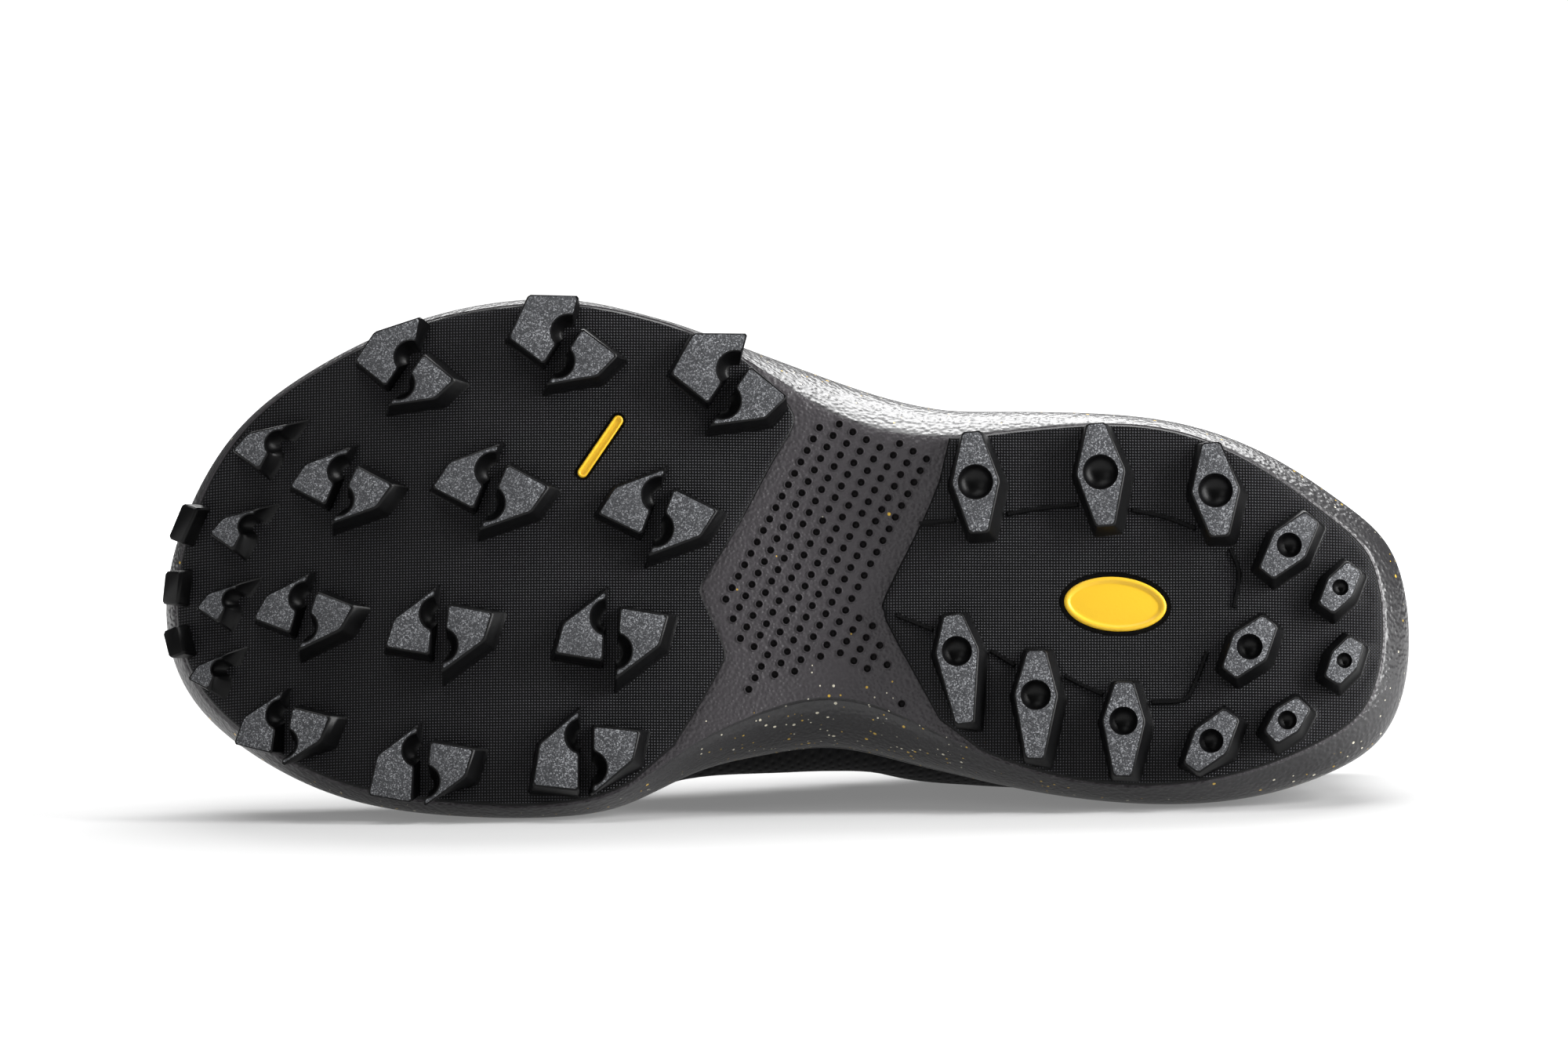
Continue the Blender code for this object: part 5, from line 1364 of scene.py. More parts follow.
class Stud:
    """A shape on the rubber: the rings of its walls and top, and its dimple."""

    def __init__(self, loop: Array, border: Array, height: Optional[float] = None,
                 draft: Any = None, dimple: float = 0.0, bitten: bool = False,
                 face: Foot = Foot.GRAINED) -> None:
        """Places the stud.

        Args:
            loop: its top's loop in the plan.
            border: the pad's border, inside which its foot stays.
            height: its height over the rubber. Without one its top lies on the ground line.
            draft: how far each wall slopes out.
            dimple: the radius of the hollow in its top.
            bitten: whether its loop has a bite, as split_lug_half makes it.
            face: the finish of its top.
        """
        down = FORM.down(loop.mean(axis=0)) if height is None else np.array([0.0, 0.0, -1.0])
        rise = (FORM.rubber_face(loop) - FORM.ground(loop[:, 0])) * abs(down[2])
        if height is not None:
            rise = np.full(len(loop), height)
        below = loop - down[:2] * rise[:, None]
        draft = TREAD.wall_draft(loop) if draft is None else draft
        foot = kept_inside(shrunk(below, -draft), border, TREAD.foot_edge)
        top = column_stack([loop, FORM.rubber_face(below) + down[2] * rise])
        inset = min(TREAD.top_edge, 0.35 * float(np.min(np.ptp(loop, axis=0))))
        inner = column_stack([shrunk(loop, inset), top[:, 2]])
        self.dimple = dimple
        self.bitten = np.zeros(2 * len(loop), bool)
        if bitten:
            self.bitten[2:-6] = True
        self.plain = height is not None
        self.face = Foot.SMOOTH if self.plain else face
        if not self.plain:
            foot, top, inner = (eased(ring, TREAD.corner) for ring in (foot, top, inner))
        self.foot, self.top, self.inner = foot, top, inner

    def rings(self) -> list[Array]:
        """The rings from just above the foot to the top face, with a fillet and a soft edge."""
        if self.plain:
            return [self.top]
        base = column_stack([self.foot, FORM.rubber_face(self.foot)])
        wall = self.top - base
        reach = norm(wall[:, :2], axis=1)
        edge = 1.0 - np.minimum(TREAD.top_edge / np.abs(wall[:, 2]), 0.4)
        # The height of each ring, and how far up the slope it lies on a straight wall
        fillet = np.minimum(0.45, TREAD.fillet / np.maximum(reach, 1e-6))
        steps = [(np.full(len(base), TREAD.fillet_level), fillet)]
        if self.bitten.any():
            steps += [(np.full(len(base), level), level) for level in TREAD.bite_levels]
        steps.append((edge, edge))
        made = []
        for level, plain in steps:
            share = np.where(self.bitten, TREAD.bite_share(level), plain)
            made.append(base + wall * column_stack([share, share, level]))
        soft = (made[-1] + 2.0 * self.top + self.inner) / 4.0
        return [*made, soft, self.inner]

    def dimple_rings(self) -> tuple[list[Array], list[int], Array]:
        """Rings of the round hollow in the top.

        Returns:
            The rings, for each corner of the top the index of the ring's point that faces it, and
            the deepest point.
        """
        top = self.inner
        fit = column_stack([top[:, :2], np.ones(len(top))])
        slope = np.linalg.lstsq(fit, top[:, 2], rcond=None)[0]
        widest = len(top) // 2
        centre = (top[:2, :2].mean(axis=0) + top[widest : widest + 2, :2].mean(axis=0)) / 2.0
        ways = top[:, :2] - centre
        turns = np.unwrap(np.arctan2(ways[:, 1], ways[:, 0]))
        turns = np.append(turns, turns[0] + 2.0 * math.pi)
        angles: list[float] = []
        facing: list[int] = []
        for start, end in zip(turns, turns[1:]):
            facing.append(len(angles))
            steps = max(1, round((end - start) / TREAD.dimple_step))
            angles.extend(np.linspace(start, end, steps, endpoint=False))
        ways = np.stack([np.cos(angles), np.sin(angles)], 1)
        deep = min(TREAD.dimple_depth, self.dimple)
        rings = []
        for grow, dive in TREAD.dimple_profile:
            turn = math.radians(dive)
            flat = centre + ways * self.dimple * grow * math.cos(turn)
            height = flat @ slope[:2] + slope[2] + deep * math.sin(turn)
            rings.append(column_stack([flat, height]))
        pole = np.array([*centre, centre @ slope[:2] + slope[2] + deep])
        return rings, facing, pole

    def raise_on(self, surface: Surface, base: list[int]) -> None:
        """Adds the stud to a surface.

        Args:
            surface: the pad's surface.
            base: the indices of its foot's points there.
        """
        smooth = Foot.SMOOTH.value
        last = surface.climb(base, self.rings(), smooth)
        if not self.dimple:
            surface.face(last, self.face.value)
            return
        rings, facing, pole = self.dimple_rings()
        mouth = surface.add(rings[0])
        for k, start in enumerate(facing):
            end = facing[k + 1] if k + 1 < len(facing) else len(mouth)
            arc = [mouth[index % len(mouth)] for index in range(end, start - 1, -1)]
            surface.face((last[k], last[(k + 1) % len(last)], *arc), self.face.value)
        ring = surface.climb(mouth, rings[1:], smooth)
        bottom = surface.add([pole])[0]
        for k, index in enumerate(ring):
            surface.face((index, ring[(k + 1) % len(ring)], bottom), smooth)


@dataclass(frozen=True)
class Badge(Piece):
    """A plain yellow inlay with a raised rim, and a dark border round it in its seat."""

    node: str
    shape: Callable[[float, float], Array]
    length: float
    width: float
    place: tuple[float, float, float]
    rim: float
    border: float
    stand: float = 0.0006

    def loop(self) -> Array:
        """The edge of its seat."""
        return placed(self.shape(self.length, self.width), *self.place)

    def build(self, finishes: Sequence[Material]) -> Thing:
        """Makes the badge, of yellow rubber."""
        loop = shrunk(self.loop(), self.border)
        surface = Surface()
        # How far inside the edge, as shares of the rim, and how high, as shares of the stand
        profile = (
            (0.0, -TREAD.seat / self.stand + 0.5), (0.0, 0.4), (0.25, 0.85), (0.6, 1.0),
            (0.95, 0.8), (1.2, 0.25), (1.5, 0.1), (1.9, 0.2),
        )
        loops = [(shrunk(loop, inset * self.rim), height) for inset, height in profile]
        rings = [
            column_stack([ring, FORM.rubber_face(ring) - height * self.stand])
            for ring, height in loops
        ]
        foot = surface.add(rings[0])
        surface.face(surface.climb(foot, rings[1:]))
        surface.face(foot)
        return surface.build(self.node + "_inlay", finishes, 50.0, self.node, "yellow_rubber")


BADGE = Badge("heel_badge", oval, 0.0270, 0.0155, HEEL_BADGE_PLACE, 0.0011, 0.0012)
MARK = Badge("forefoot_badge", round_bar, 0.0190, 0.0038, FOREFOOT_BADGE_PLACE, 0.0005, 0.0007)


@dataclass
class RubberPad(Piece):
    """A pad of outsole rubber: its sheet, its studs and its rounded edge."""

    name: str
    node: str
    ends: tuple[float, float]
    toe_end: bool
    inner_edge: Sequence[tuple[float, float]]
    edge_steps: int = 150
    spot_step: float = 0.0024
    spot_clear: float = 0.001
    edge_round: float = 0.0004

    def border(self) -> Array:
        """The pad's edge: along the foam's edge between two ends, then across the sole."""
        first = angle_of(Side.LATERAL, self.ends[0])
        last = angle_of(Side.MEDIAL, self.ends[1])
        ends = (first, last) if self.toe_end else (last - 2.0 * math.pi, first)
        turns = np.linspace(*ends, self.edge_steps)
        inset = station(SIDE_WALL, EDGE_INSET, turns) * FORM.side_height + TREAD.margin
        along = FORM.inset(turns, inset)
        across = smooth_path([FORM.plan(*point) for point in self.inner_edge], 3)
        border = np.concatenate([along, across[::-1] if self.toe_end else across])
        return border if signed_area(border) > 0 else border[::-1]

    def studs(self, border: Array) -> list[Stud]:
        """The pad's studs. Each kind of pad has its own."""
        raise NotImplementedError

    def build(self, finishes: Sequence[Material]) -> Thing:
        """Makes the pad, of woven, polished and grained rubber."""
        border = self.border()
        studs = self.studs(border)
        surface = Surface()
        outer, *feet = surface.sheet(
            shrunk(border, self.edge_round), [stud.foot for stud in studs],
            spots_over(border, self.spot_step), self.spot_clear, FORM.rubber_face, None,
            Foot.WOVEN.value,
        )
        heights = FORM.rubber_face(border) + self.edge_round, FORM.underside(border) - FORM.gap
        walls = [column_stack([border, height]) for height in heights]
        surface.face(surface.climb(outer, walls, Foot.SMOOTH.value), Foot.SMOOTH.value)
        for stud, foot in zip(studs, feet):
            stud.raise_on(surface, foot)
        return surface.build(self.name, finishes, 42.0, self.node, "rubber")


@dataclass
class ForefootPad(RubberPad):
    """The forefoot's pad, with split lugs, half lugs, toe cleats and the mark's seat."""

    def studs(self, border: Array) -> list[Stud]:
        """The forefoot's studs."""
        made = []
        for along, across, degrees, scale, lateral_out, front_out, medial_out in FOREFOOT_LUGS:
            half = TREAD.split_lug_half(scale)
            for sign in (1, -1):
                loop = placed(sign * half, along, across, degrees)
                if sign > 0:
                    loop[0, 1] += lateral_out * TREAD.reach
                    loop[-1, 1] += front_out * TREAD.reach
                    loop[-3:-1, 1] -= medial_out * TREAD.reach
                draft = TREAD.wall_draft(loop)
                draft[:-3] = TREAD.groove_draft
                made.append(Stud(loop, border, draft=TREAD.bite_wall(draft, scale), bitten=True))
        for *place, scale in FRONT_LUGS:
            loop = placed(TREAD.split_lug_half(scale), *place)
            draft = TREAD.bite_wall(TREAD.wall_draft(loop), scale)
            made.append(Stud(loop, border, draft=draft, bitten=True))
        for *place, length in TOE_CLEATS:
            top = placed(rectangle(length, CLEAT_WIDTH), *place)
            made.append(Stud(top, border, draft=TREAD.draft / 2, face=Foot.SMOOTH))
        made.append(Stud(MARK.loop(), border, height=-TREAD.seat, draft=0.0))
        return made


@dataclass
class HeelPad(RubberPad):
    """The heel's pad, with dimpled lugs, the line round its panel and the badge's seat."""

    ridge_clear: float = 0.00095
    ridge_step: float = 0.0001
    ridge_reach: int = 40

    def run_on(self, line: Array, feet: Sequence[Array]) -> Array:
        """A line of the panel whose ends run on until they nearly touch the next lug.

        Args:
            line: the line's points in the plan.
            feet: the lugs' feet.

        Returns:
            The line, where an end that meets no lug stays as it was.
        """
        made = line.copy()
        for end, before in ((0, 1), (-1, -2)):
            way = (line[end] - line[before]) / norm(line[end] - line[before])
            for step in range(self.ridge_reach):
                spot = line[end] + way * step * self.ridge_step
                near = max(float(nearest_inside(spot[None], foot)[0][0]) for foot in feet)
                if near > -self.ridge_clear:
                    made[end] = line[end] + way * max(step - 1, 0) * self.ridge_step
                    break
        return made

    def studs(self, border: Array) -> list[Stud]:
        """The heel's studs."""
        made = []
        for along, across, degrees, lateral, medial, width, dimple in HEEL_LUGS:
            loop = placed(hexagon(lateral, medial, width), along, across, degrees)
            made.append(Stud(loop, border, dimple=dimple))
        feet = [stud.foot for stud in made]
        for run in PANEL_RIDGES:
            line = self.run_on(np.array([FORM.plan(*point) for point in run]), feet)
            loop = strip(line, TREAD.ridge_width / 2)
            made.append(Stud(loop, border, TREAD.ridge_height, TREAD.ridge_width / 4))
        made.append(Stud(BADGE.loop(), border, height=-TREAD.seat, draft=0.0))
        return made


# Foam and sock liner

@dataclass
class Midsole(Piece):
    """The foam: its dimpled arch, bulging side with a groove, rim, and the cup for the foot."""

    sides: int = 336
    levels: int = 44
    groove_depth: float = 0.0008
    groove_from: float = 0.34
    groove_to: float = 0.56
    crease_depth: float = 0.0011
    crease_level: float = -0.90
    dimple_radius: float = 0.00084
    dimple_rim: float = 0.00118
    dimple_depth: float = 0.0010
    rim_rise: float = 0.00020
    dimple_sides: int = 16
    spot_step: float = 0.0030
    spot_clear: float = 0.0006
    rim_round: float = 0.0006
    fade: float = 0.06
    crease_width: float = 0.035
    # The waist's crowded flecks: their middle and reach along the sole, and where they start across
    # and up. The share of them that the sides have.
    waist_flecks: tuple[float, float] = (0.136, 0.030)
    flecks_across: float = -0.012
    flecks_rise: float = 0.006
    side_flecks: float = 0.5
    waist: tuple[float, float] = (0.34, 0.62)

    def dimple_centres(self) -> list[Array]:
        """The centres of the arch's dimples: a slanted grid inside the arch's field."""
        field = np.array(ARCH_FIELD)
        field = field if signed_area(field) > 0 else field[::-1]
        first, along, across = (np.array(value) for value in DIMPLE_GRID)
        spots = np.array([
            first + along * i + across * j for i in range(-20, 21) for j in range(-20, 40)
        ])
        low, high = field.min(axis=0), field.max(axis=0)
        spots = spots[np.all((spots > low) & (spots < high), axis=1)]
        return list(spots[nearest_inside(spots, field)[0] > 0.0])

    def depth_at(self, angles: Array, level: float) -> Array:
        """How far the side is sunk.

        Args:
            angles: angles round the shoe.
            level: the level on the side.

        Returns:
            The depth at each angle: the groove round the side, and a crease at the medial waist.
        """
        rise, fall = level - self.groove_from, self.groove_to - level
        groove = ease(rise / self.fade) * ease(fall / self.fade)
        along = along_of(angles)
        start, end = self.waist
        waist = ease((end - along) / self.fade) * ease((along - start) / self.fade)
        waist = waist * (angles > math.pi)
        share = (level - self.crease_level) / self.crease_width
        crease = math.exp(-(share**2)) * self.crease_depth
        return groove * self.groove_depth + crease * waist

    def crowd_at(self, points: Array) -> Array:
        """How crowded the flecks are, from 0 to 1: some on the sides, most at the medial waist."""
        x, y, z = points.T
        centre, reach = self.waist_flecks
        near = ease(1.6 - np.abs(x - centre) / reach)
        side = ease((self.flecks_across - y) / 0.010) * ease((z - self.flecks_rise) / 0.006)
        high = ease((z - FORM.underside(points[:, :2]) - 0.001) / 0.004)
        return np.maximum(near * side, self.side_flecks * high)

    def build(self, finishes: Sequence[Material]) -> Thing:
        """Makes the foam: the arch's, the coarser one of the side, painted darker as shade, and the
        dimples' skin, painted darker as shade in their hollows.
        """
        angles = circle(self.sides)
        surface = Surface()
        levels = [float(level) for level in np.linspace(-1.0, 1.0, self.levels + 1)]
        rows = [FORM.foam_side(angles, level, self.depth_at(angles, level)) for level in levels]
        rim = FORM.foam_side(angles, 1.0)[:, 2]
        edge, inner = (
            FORM.inset(angles, FORM.cup_inset(angles, clear)) for clear in (-self.rim_round, 0.0)
        )
        cup = ((edge, rim), (inner, rim - self.rim_round), (inner, FORM.footbed(inner)))
        made = surface.grid([*rows, *(column_stack(row) for row in cup)], 1)
        surface.face(made[-1])
        self.close_underside(surface, made[0], rows[0][:, :2])
        surface.shares = self.crowd_at(np.array(surface.points)).tolist()
        return surface.build("midsole_foam", finishes, 50.0, "midsole", "foam")

    def close_underside(self, surface: Surface, ring: list[int], border: Array) -> None:
        """Adds the underside inside the bottom edge, with the arch's dimples.

        Args:
            surface: the foam's surface.
            ring: the indices of the bottom edge.
            border: its points in the plan.
        """
        turn = np.linspace(0.0, 2.0 * math.pi, self.dimple_sides, endpoint=False)
        ways = np.stack([np.cos(turn), np.sin(turn)], 1)
        loop = border[::-1] if signed_area(border) < 0 else border
        centres = np.array(self.dimple_centres())
        centres = centres[nearest_inside(centres, loop)[0] > self.dimple_rim + FORM.gap]
        holes = surface.sheet(
            border, [centre + ways * self.dimple_rim for centre in centres],
            spots_over(border, self.spot_step), self.spot_clear, FORM.underside, ring,
        )[1:]
        # How wide each ring of a dimple is, how deep, and the finish of the faces up to it: finish
        # 2 is painted darker, as shade in the dimple's hollow
        wide, deep = self.dimple_radius, self.dimple_depth
        profile = (
            (0.90 * self.dimple_rim, -self.rim_rise, 0), (1.1 * wide, -self.rim_rise, 0),
            (wide, 0.00010, 0), (0.86 * wide, 0.6 * deep, 2), (0.50 * wide, deep, 2),
        )
        for centre, last in zip(centres, holes):
            for radius, depth, kind in profile:
                spots = centre + ways * radius
                after = column_stack([spots, FORM.underside(spots) + depth])
                last = surface.climb(last, [after], kind)
            surface.face(last, 2)


@dataclass
class SockLiner(Piece):
    """The insole on the foam's floor, with a textile cover and a soft edge."""

    sides: int = 160
    thickness: float = 0.0045
    edge_round: float = 0.0010
    spot_step: float = 0.006
    spot_clear: float = 0.002

    def build(self, finishes: Sequence[Material]) -> Thing:
        """Makes the insole, with the textile of its cover."""
        angles = circle(self.sides)
        surface = Surface()
        clear = 2.0 * FORM.gap + FORM.wall
        edge = FORM.inset(angles, FORM.cup_inset(angles, clear))
        soft = FORM.inset(angles, FORM.cup_inset(angles, clear + self.edge_round))
        low = FORM.footbed(edge) + FORM.gap

        def height(points: Array) -> Array:
            """The height of the insole's face at points of the plan."""
            return FORM.footbed(points) + FORM.gap + self.thickness

        rows = (
            (edge, low),
            (edge, low + self.thickness - self.edge_round),
            ((edge + 2.0 * soft) / 3.0, low + self.thickness - self.edge_round / 4.0),
            (soft, height(soft)),
        )
        made = surface.grid([column_stack(row) for row in rows])
        surface.face(made[0])
        spots = spots_over(soft, self.spot_step)
        surface.sheet(soft, [], spots, self.spot_clear, height, made[-1])
        return surface.build("sock_liner", finishes, 50.0, "insole", "lining")


# Upper, tongue and lace

@dataclass(frozen=True)
class Eyelet:
    """An eyelet's place on the upper's face, the way out of it, and the throat's edge beside it."""

    centre: Array
    out: Array
    edge: Array


@dataclass(frozen=True)
class EyeletRows:
    """The pairs of punched eyelets along the throat."""

    first: float = 0.435
    last: float = 0.735
    pairs: int = 6
    setback: float = 0.0075
    radius: float = 0.0021
    punch_length: float = 0.011

    def eyelet(self, side: Side, along: float) -> Eyelet:
        """The eyelet at a share of the length on one side."""
        angle = np.array([angle_of(side, along)])
        edge = FORM.upper_face(angle, 1.0)[0]
        low, high = 0.5, 1.0
        for _ in range(30):
            middle = (low + high) / 2.0
            if norm(FORM.upper_face(angle, middle)[0] - edge) > self.setback:
                low = middle
            else:
                high = middle
        return Eyelet(FORM.upper_face(angle, low)[0], FORM.upper_normal(angle, low)[0], edge)

    def places(self) -> list[tuple[Eyelet, Eyelet]]:
        """The pairs, lateral and medial, from the ankle to the toe."""
        shares = np.linspace(self.first, self.last, self.pairs)
        return [(self.eyelet(Side.LATERAL, s), self.eyelet(Side.MEDIAL, s)) for s in shares]


EYELETS = EyeletRows()


@dataclass
class Upper(Piece):
    """The upper: one hollow wall of mesh with welded film, a padded collar, creases and eyelets."""

    sides: int = 384
    film: float = 0.0007
    padding: float = 0.0040
    padded_to: float = 0.36
    padding_fade: float = 0.06
    padding_rows: tuple[float, float] = (0.45, 0.70)
    top_row: float = 0.88
    top_loss: float = 0.6
    step: float = 0.004
    row_reach: float = 0.075
    # The row up to which creases fade in, their share inside, the row that gives the bead its way
    # up, and the bead's height
    crease_from: float = 0.1
    inner_crease: float = 0.5
    bead_row: float = 0.97
    bead_height: float = 0.9
    # Steps of the rows over the lower film, the mesh, the eyestay and the inside, and of the bead
    steps: tuple[int, int, int] = (12, 30, 10)
    inside_steps: int = 30
    bead_steps: int = 8
    # How far the films' edges climb, from which share of the length and over what share
    cap_climb: tuple[float, float, float] = (0.10, 0.74, 0.20)
    counter_climb: tuple[float, float, float] = (0.14, 0.20, 0.18)
    stay_fall: tuple[float, float, float] = (0.04, 0.72, 0.20)
    collar_climb: tuple[float, float, float] = (0.06, 0.42, 0.06)
    band_drop: float = 0.05
    # Where the toe cap, the heel counter and the eyestay end, and how softly
    film_ends: tuple[float, float, float] = (0.735, 0.205, 0.405)
    film_fade: float = 0.008

    def lower_edge(self, angles: Array) -> Array:
        """The row at which the toe cap and the heel counter end."""
        along = along_of(angles)
        toe, toe_from, toe_span = self.cap_climb
        heel, heel_from, heel_span = self.counter_climb
        climb = ease((along - toe_from) / toe_span), ease((heel_from - along) / heel_span)
        return BAND_TOP - self.band_drop + toe * climb[0] + heel * climb[1]

    def upper_edge(self, angles: Array) -> Array:
        """The row at which the eyestay and the collar's lining start."""
        along = along_of(angles)
        stay, stay_from, stay_span = self.stay_fall
        collar, collar_from, collar_span = self.collar_climb
        fall = stay * ease((along - stay_from) / stay_span)
        return EYESTAY_FOOT - fall + collar * ease((collar_from - along) / collar_span)

    def lower_film(self, angles: Array) -> Array:
        """Where the toe cap and the heel counter are, from 0 to 1."""
        along = along_of(angles)
        cap, counter = self.film_ends[:2]
        return np.maximum(
            ease((along - cap) / self.film_fade), ease((counter - along) / self.film_fade)
        )

    def eyestay_film(self, angles: Array) -> Array:
        """Where the eyestay is, from 0 to 1."""
        return ease((along_of(angles) - self.film_ends[2]) / self.film_fade)

    def thickness(self, angles: Array, row: Array) -> Array:
        """The wall's thickness: more where the collar is padded."""
        start, end = self.padding_rows
        padded = ease((self.padded_to - along_of(angles)) / self.padding_fade)
        padded = padded * ease((row - start) / (end - start))
        loss = self.top_loss * ease((row - self.top_row) / (1.0 - self.top_row))
        return FORM.wall + self.padding * padded * (1.0 - loss)

    def crease(self, angles: Array, row: Array) -> Array:
        """How far the soft creases sink the face, or raise it where negative.

        Args:
            angles: angles round the shoe.
            row: the row at each angle.

        Returns:
            The depth at each angle.
        """
        spot = column_stack([along_of(angles) * FORM.length, row * self.row_reach])
        total = np.zeros(len(angles))
        for along, height, to_along, to_height, width, depth in CREASES:
            start = np.array([abs(along) * FORM.length, height * self.row_reach])
            run = np.array([to_along * FORM.length, to_height * self.row_reach]) - start
            share = np.clip((spot - start) @ run / (run @ run), 0.0, 1.0)
            away = norm(spot - start - share[:, None] * run, axis=1)
            fade = 1.0 - 0.6 * np.abs(2.0 * share - 1.0)
            on_side = (angles < math.pi) == (along > 0.0)
            total += depth * fade * np.exp(-((away / width) ** 2)) * on_side
        return total

    def build(self, finishes: Sequence[Material]) -> Thing:
        """Makes the upper, of mesh, film and lining."""
        angles = circle(self.sides)
        low, high, one = self.lower_edge(angles), self.upper_edge(angles), np.ones(self.sides)
        zero = np.zeros(self.sides)
        # Rows of the face, and how much film each has
        outer: list[tuple[Array, Array]] = [(-one, zero), (-0.5 * one, zero)]
        cap, stay = self.lower_film(angles), self.eyestay_film(angles)
        caps, meshes, stays = self.steps
        outer += [(low * k / caps, cap * min(k / 2.0, 1.0)) for k in range(caps + 1)]
        low_end, high_start = low + self.step, high - self.step
        mesh = high_start - low_end
        outer += [(low_end + mesh * k / meshes, zero) for k in range(meshes + 1)]
        outer += [(high + (1.0 - high) * k / stays, stay) for k in range(stays + 1)]
        face = []
        for row, film in outer:
            normal = FORM.upper_normal(angles, row)
            rise = self.film * film - self.crease(angles, row) * ease(row / self.crease_from)
            face.append(FORM.upper_face(angles, row) + normal * rise[:, None])
        up = unit(FORM.upper_face(angles, 1.0) - FORM.upper_face(angles, self.bead_row))
        inside = []
        last = self.inside_steps
        for row in [*(one * k / last for k in range(last, -1, -1)), -0.5 * one, -one]:
            normal = FORM.upper_normal(angles, row)
            sunk = self.inner_crease * self.crease(angles, row) * ease(row / self.crease_from)
            depth = self.thickness(angles, row) + sunk
            inside.append(FORM.upper_face(angles, row) - normal * depth[:, None])
        middle, half = (face[-1] + inside[0]) / 2.0, (face[-1] - inside[0]) / 2.0
        reach = norm(half, axis=1)[:, None]
        bead = [
            middle + half * math.cos(turn) + up * reach * self.bead_height * math.sin(turn)
            for turn in np.linspace(0.0, math.pi, self.bead_steps + 1)[1:-1]
        ]
        surface = Surface()

        def kind(row: int, column: int) -> int:
            """The finish of a face: film where it is welded on, lining inside and at the collar."""
            if row >= len(face) - 1:
                return 1 if row < len(face) + 4 and stay[column] > 0.5 else 2
            if 2 <= row < 2 + caps:
                return 1 if cap[column] > 0.5 else 0
            if row >= len(face) - 1 - stays:
                return 1 if stay[column] > 0.5 else 2
            return 0

        made = surface.grid([*face, *bead, *inside], kind)
        surface.band(made[-1], made[0], 2)
        piece = surface.build("upper_shell", finishes, 60.0, "upper", "mesh_fabric")
        self.punch(piece)
        return piece

    def punch(self, piece: Thing) -> None:
        """Cuts the eyelets through the wall.

        Args:
            piece: the upper.
        """
        shape = bmesh.new()
        for pair in EYELETS.places():
            for eyelet in pair:
                turn = Vector((0.0, 0.0, 1.0)).rotation_difference(Vector(eyelet.out))
                place = Matrix.Translation(Vector(eyelet.centre)) @ turn.to_matrix().to_4x4()
                bmesh.ops.create_cone(
                    shape, cap_ends=True, segments=24, radius1=EYELETS.radius,
                    radius2=EYELETS.radius, depth=EYELETS.punch_length, matrix=place,
                )
        mesh = bpy.data.meshes.new("eyelet_punch")
        shape.to_mesh(mesh)
        shape.free()
        for material in piece.data.materials:
            mesh.materials.append(material)
        mesh.polygons.foreach_set("material_index", [1] * len(mesh.polygons))
        mesh.transform(REST)
        punch = placed_object("eyelet_punch", mesh)
        cut = piece.modifiers.new("eyelets", "BOOLEAN")
        cut.operation, cut.solver, cut.object = "DIFFERENCE", "EXACT", punch
        bpy.context.view_layer.update()
        graph = bpy.context.evaluated_depsgraph_get()
        made = bpy.data.meshes.new_from_object(piece.evaluated_get(graph))
        piece.modifiers.clear()
        piece.data = made
        bpy.data.objects.remove(punch)


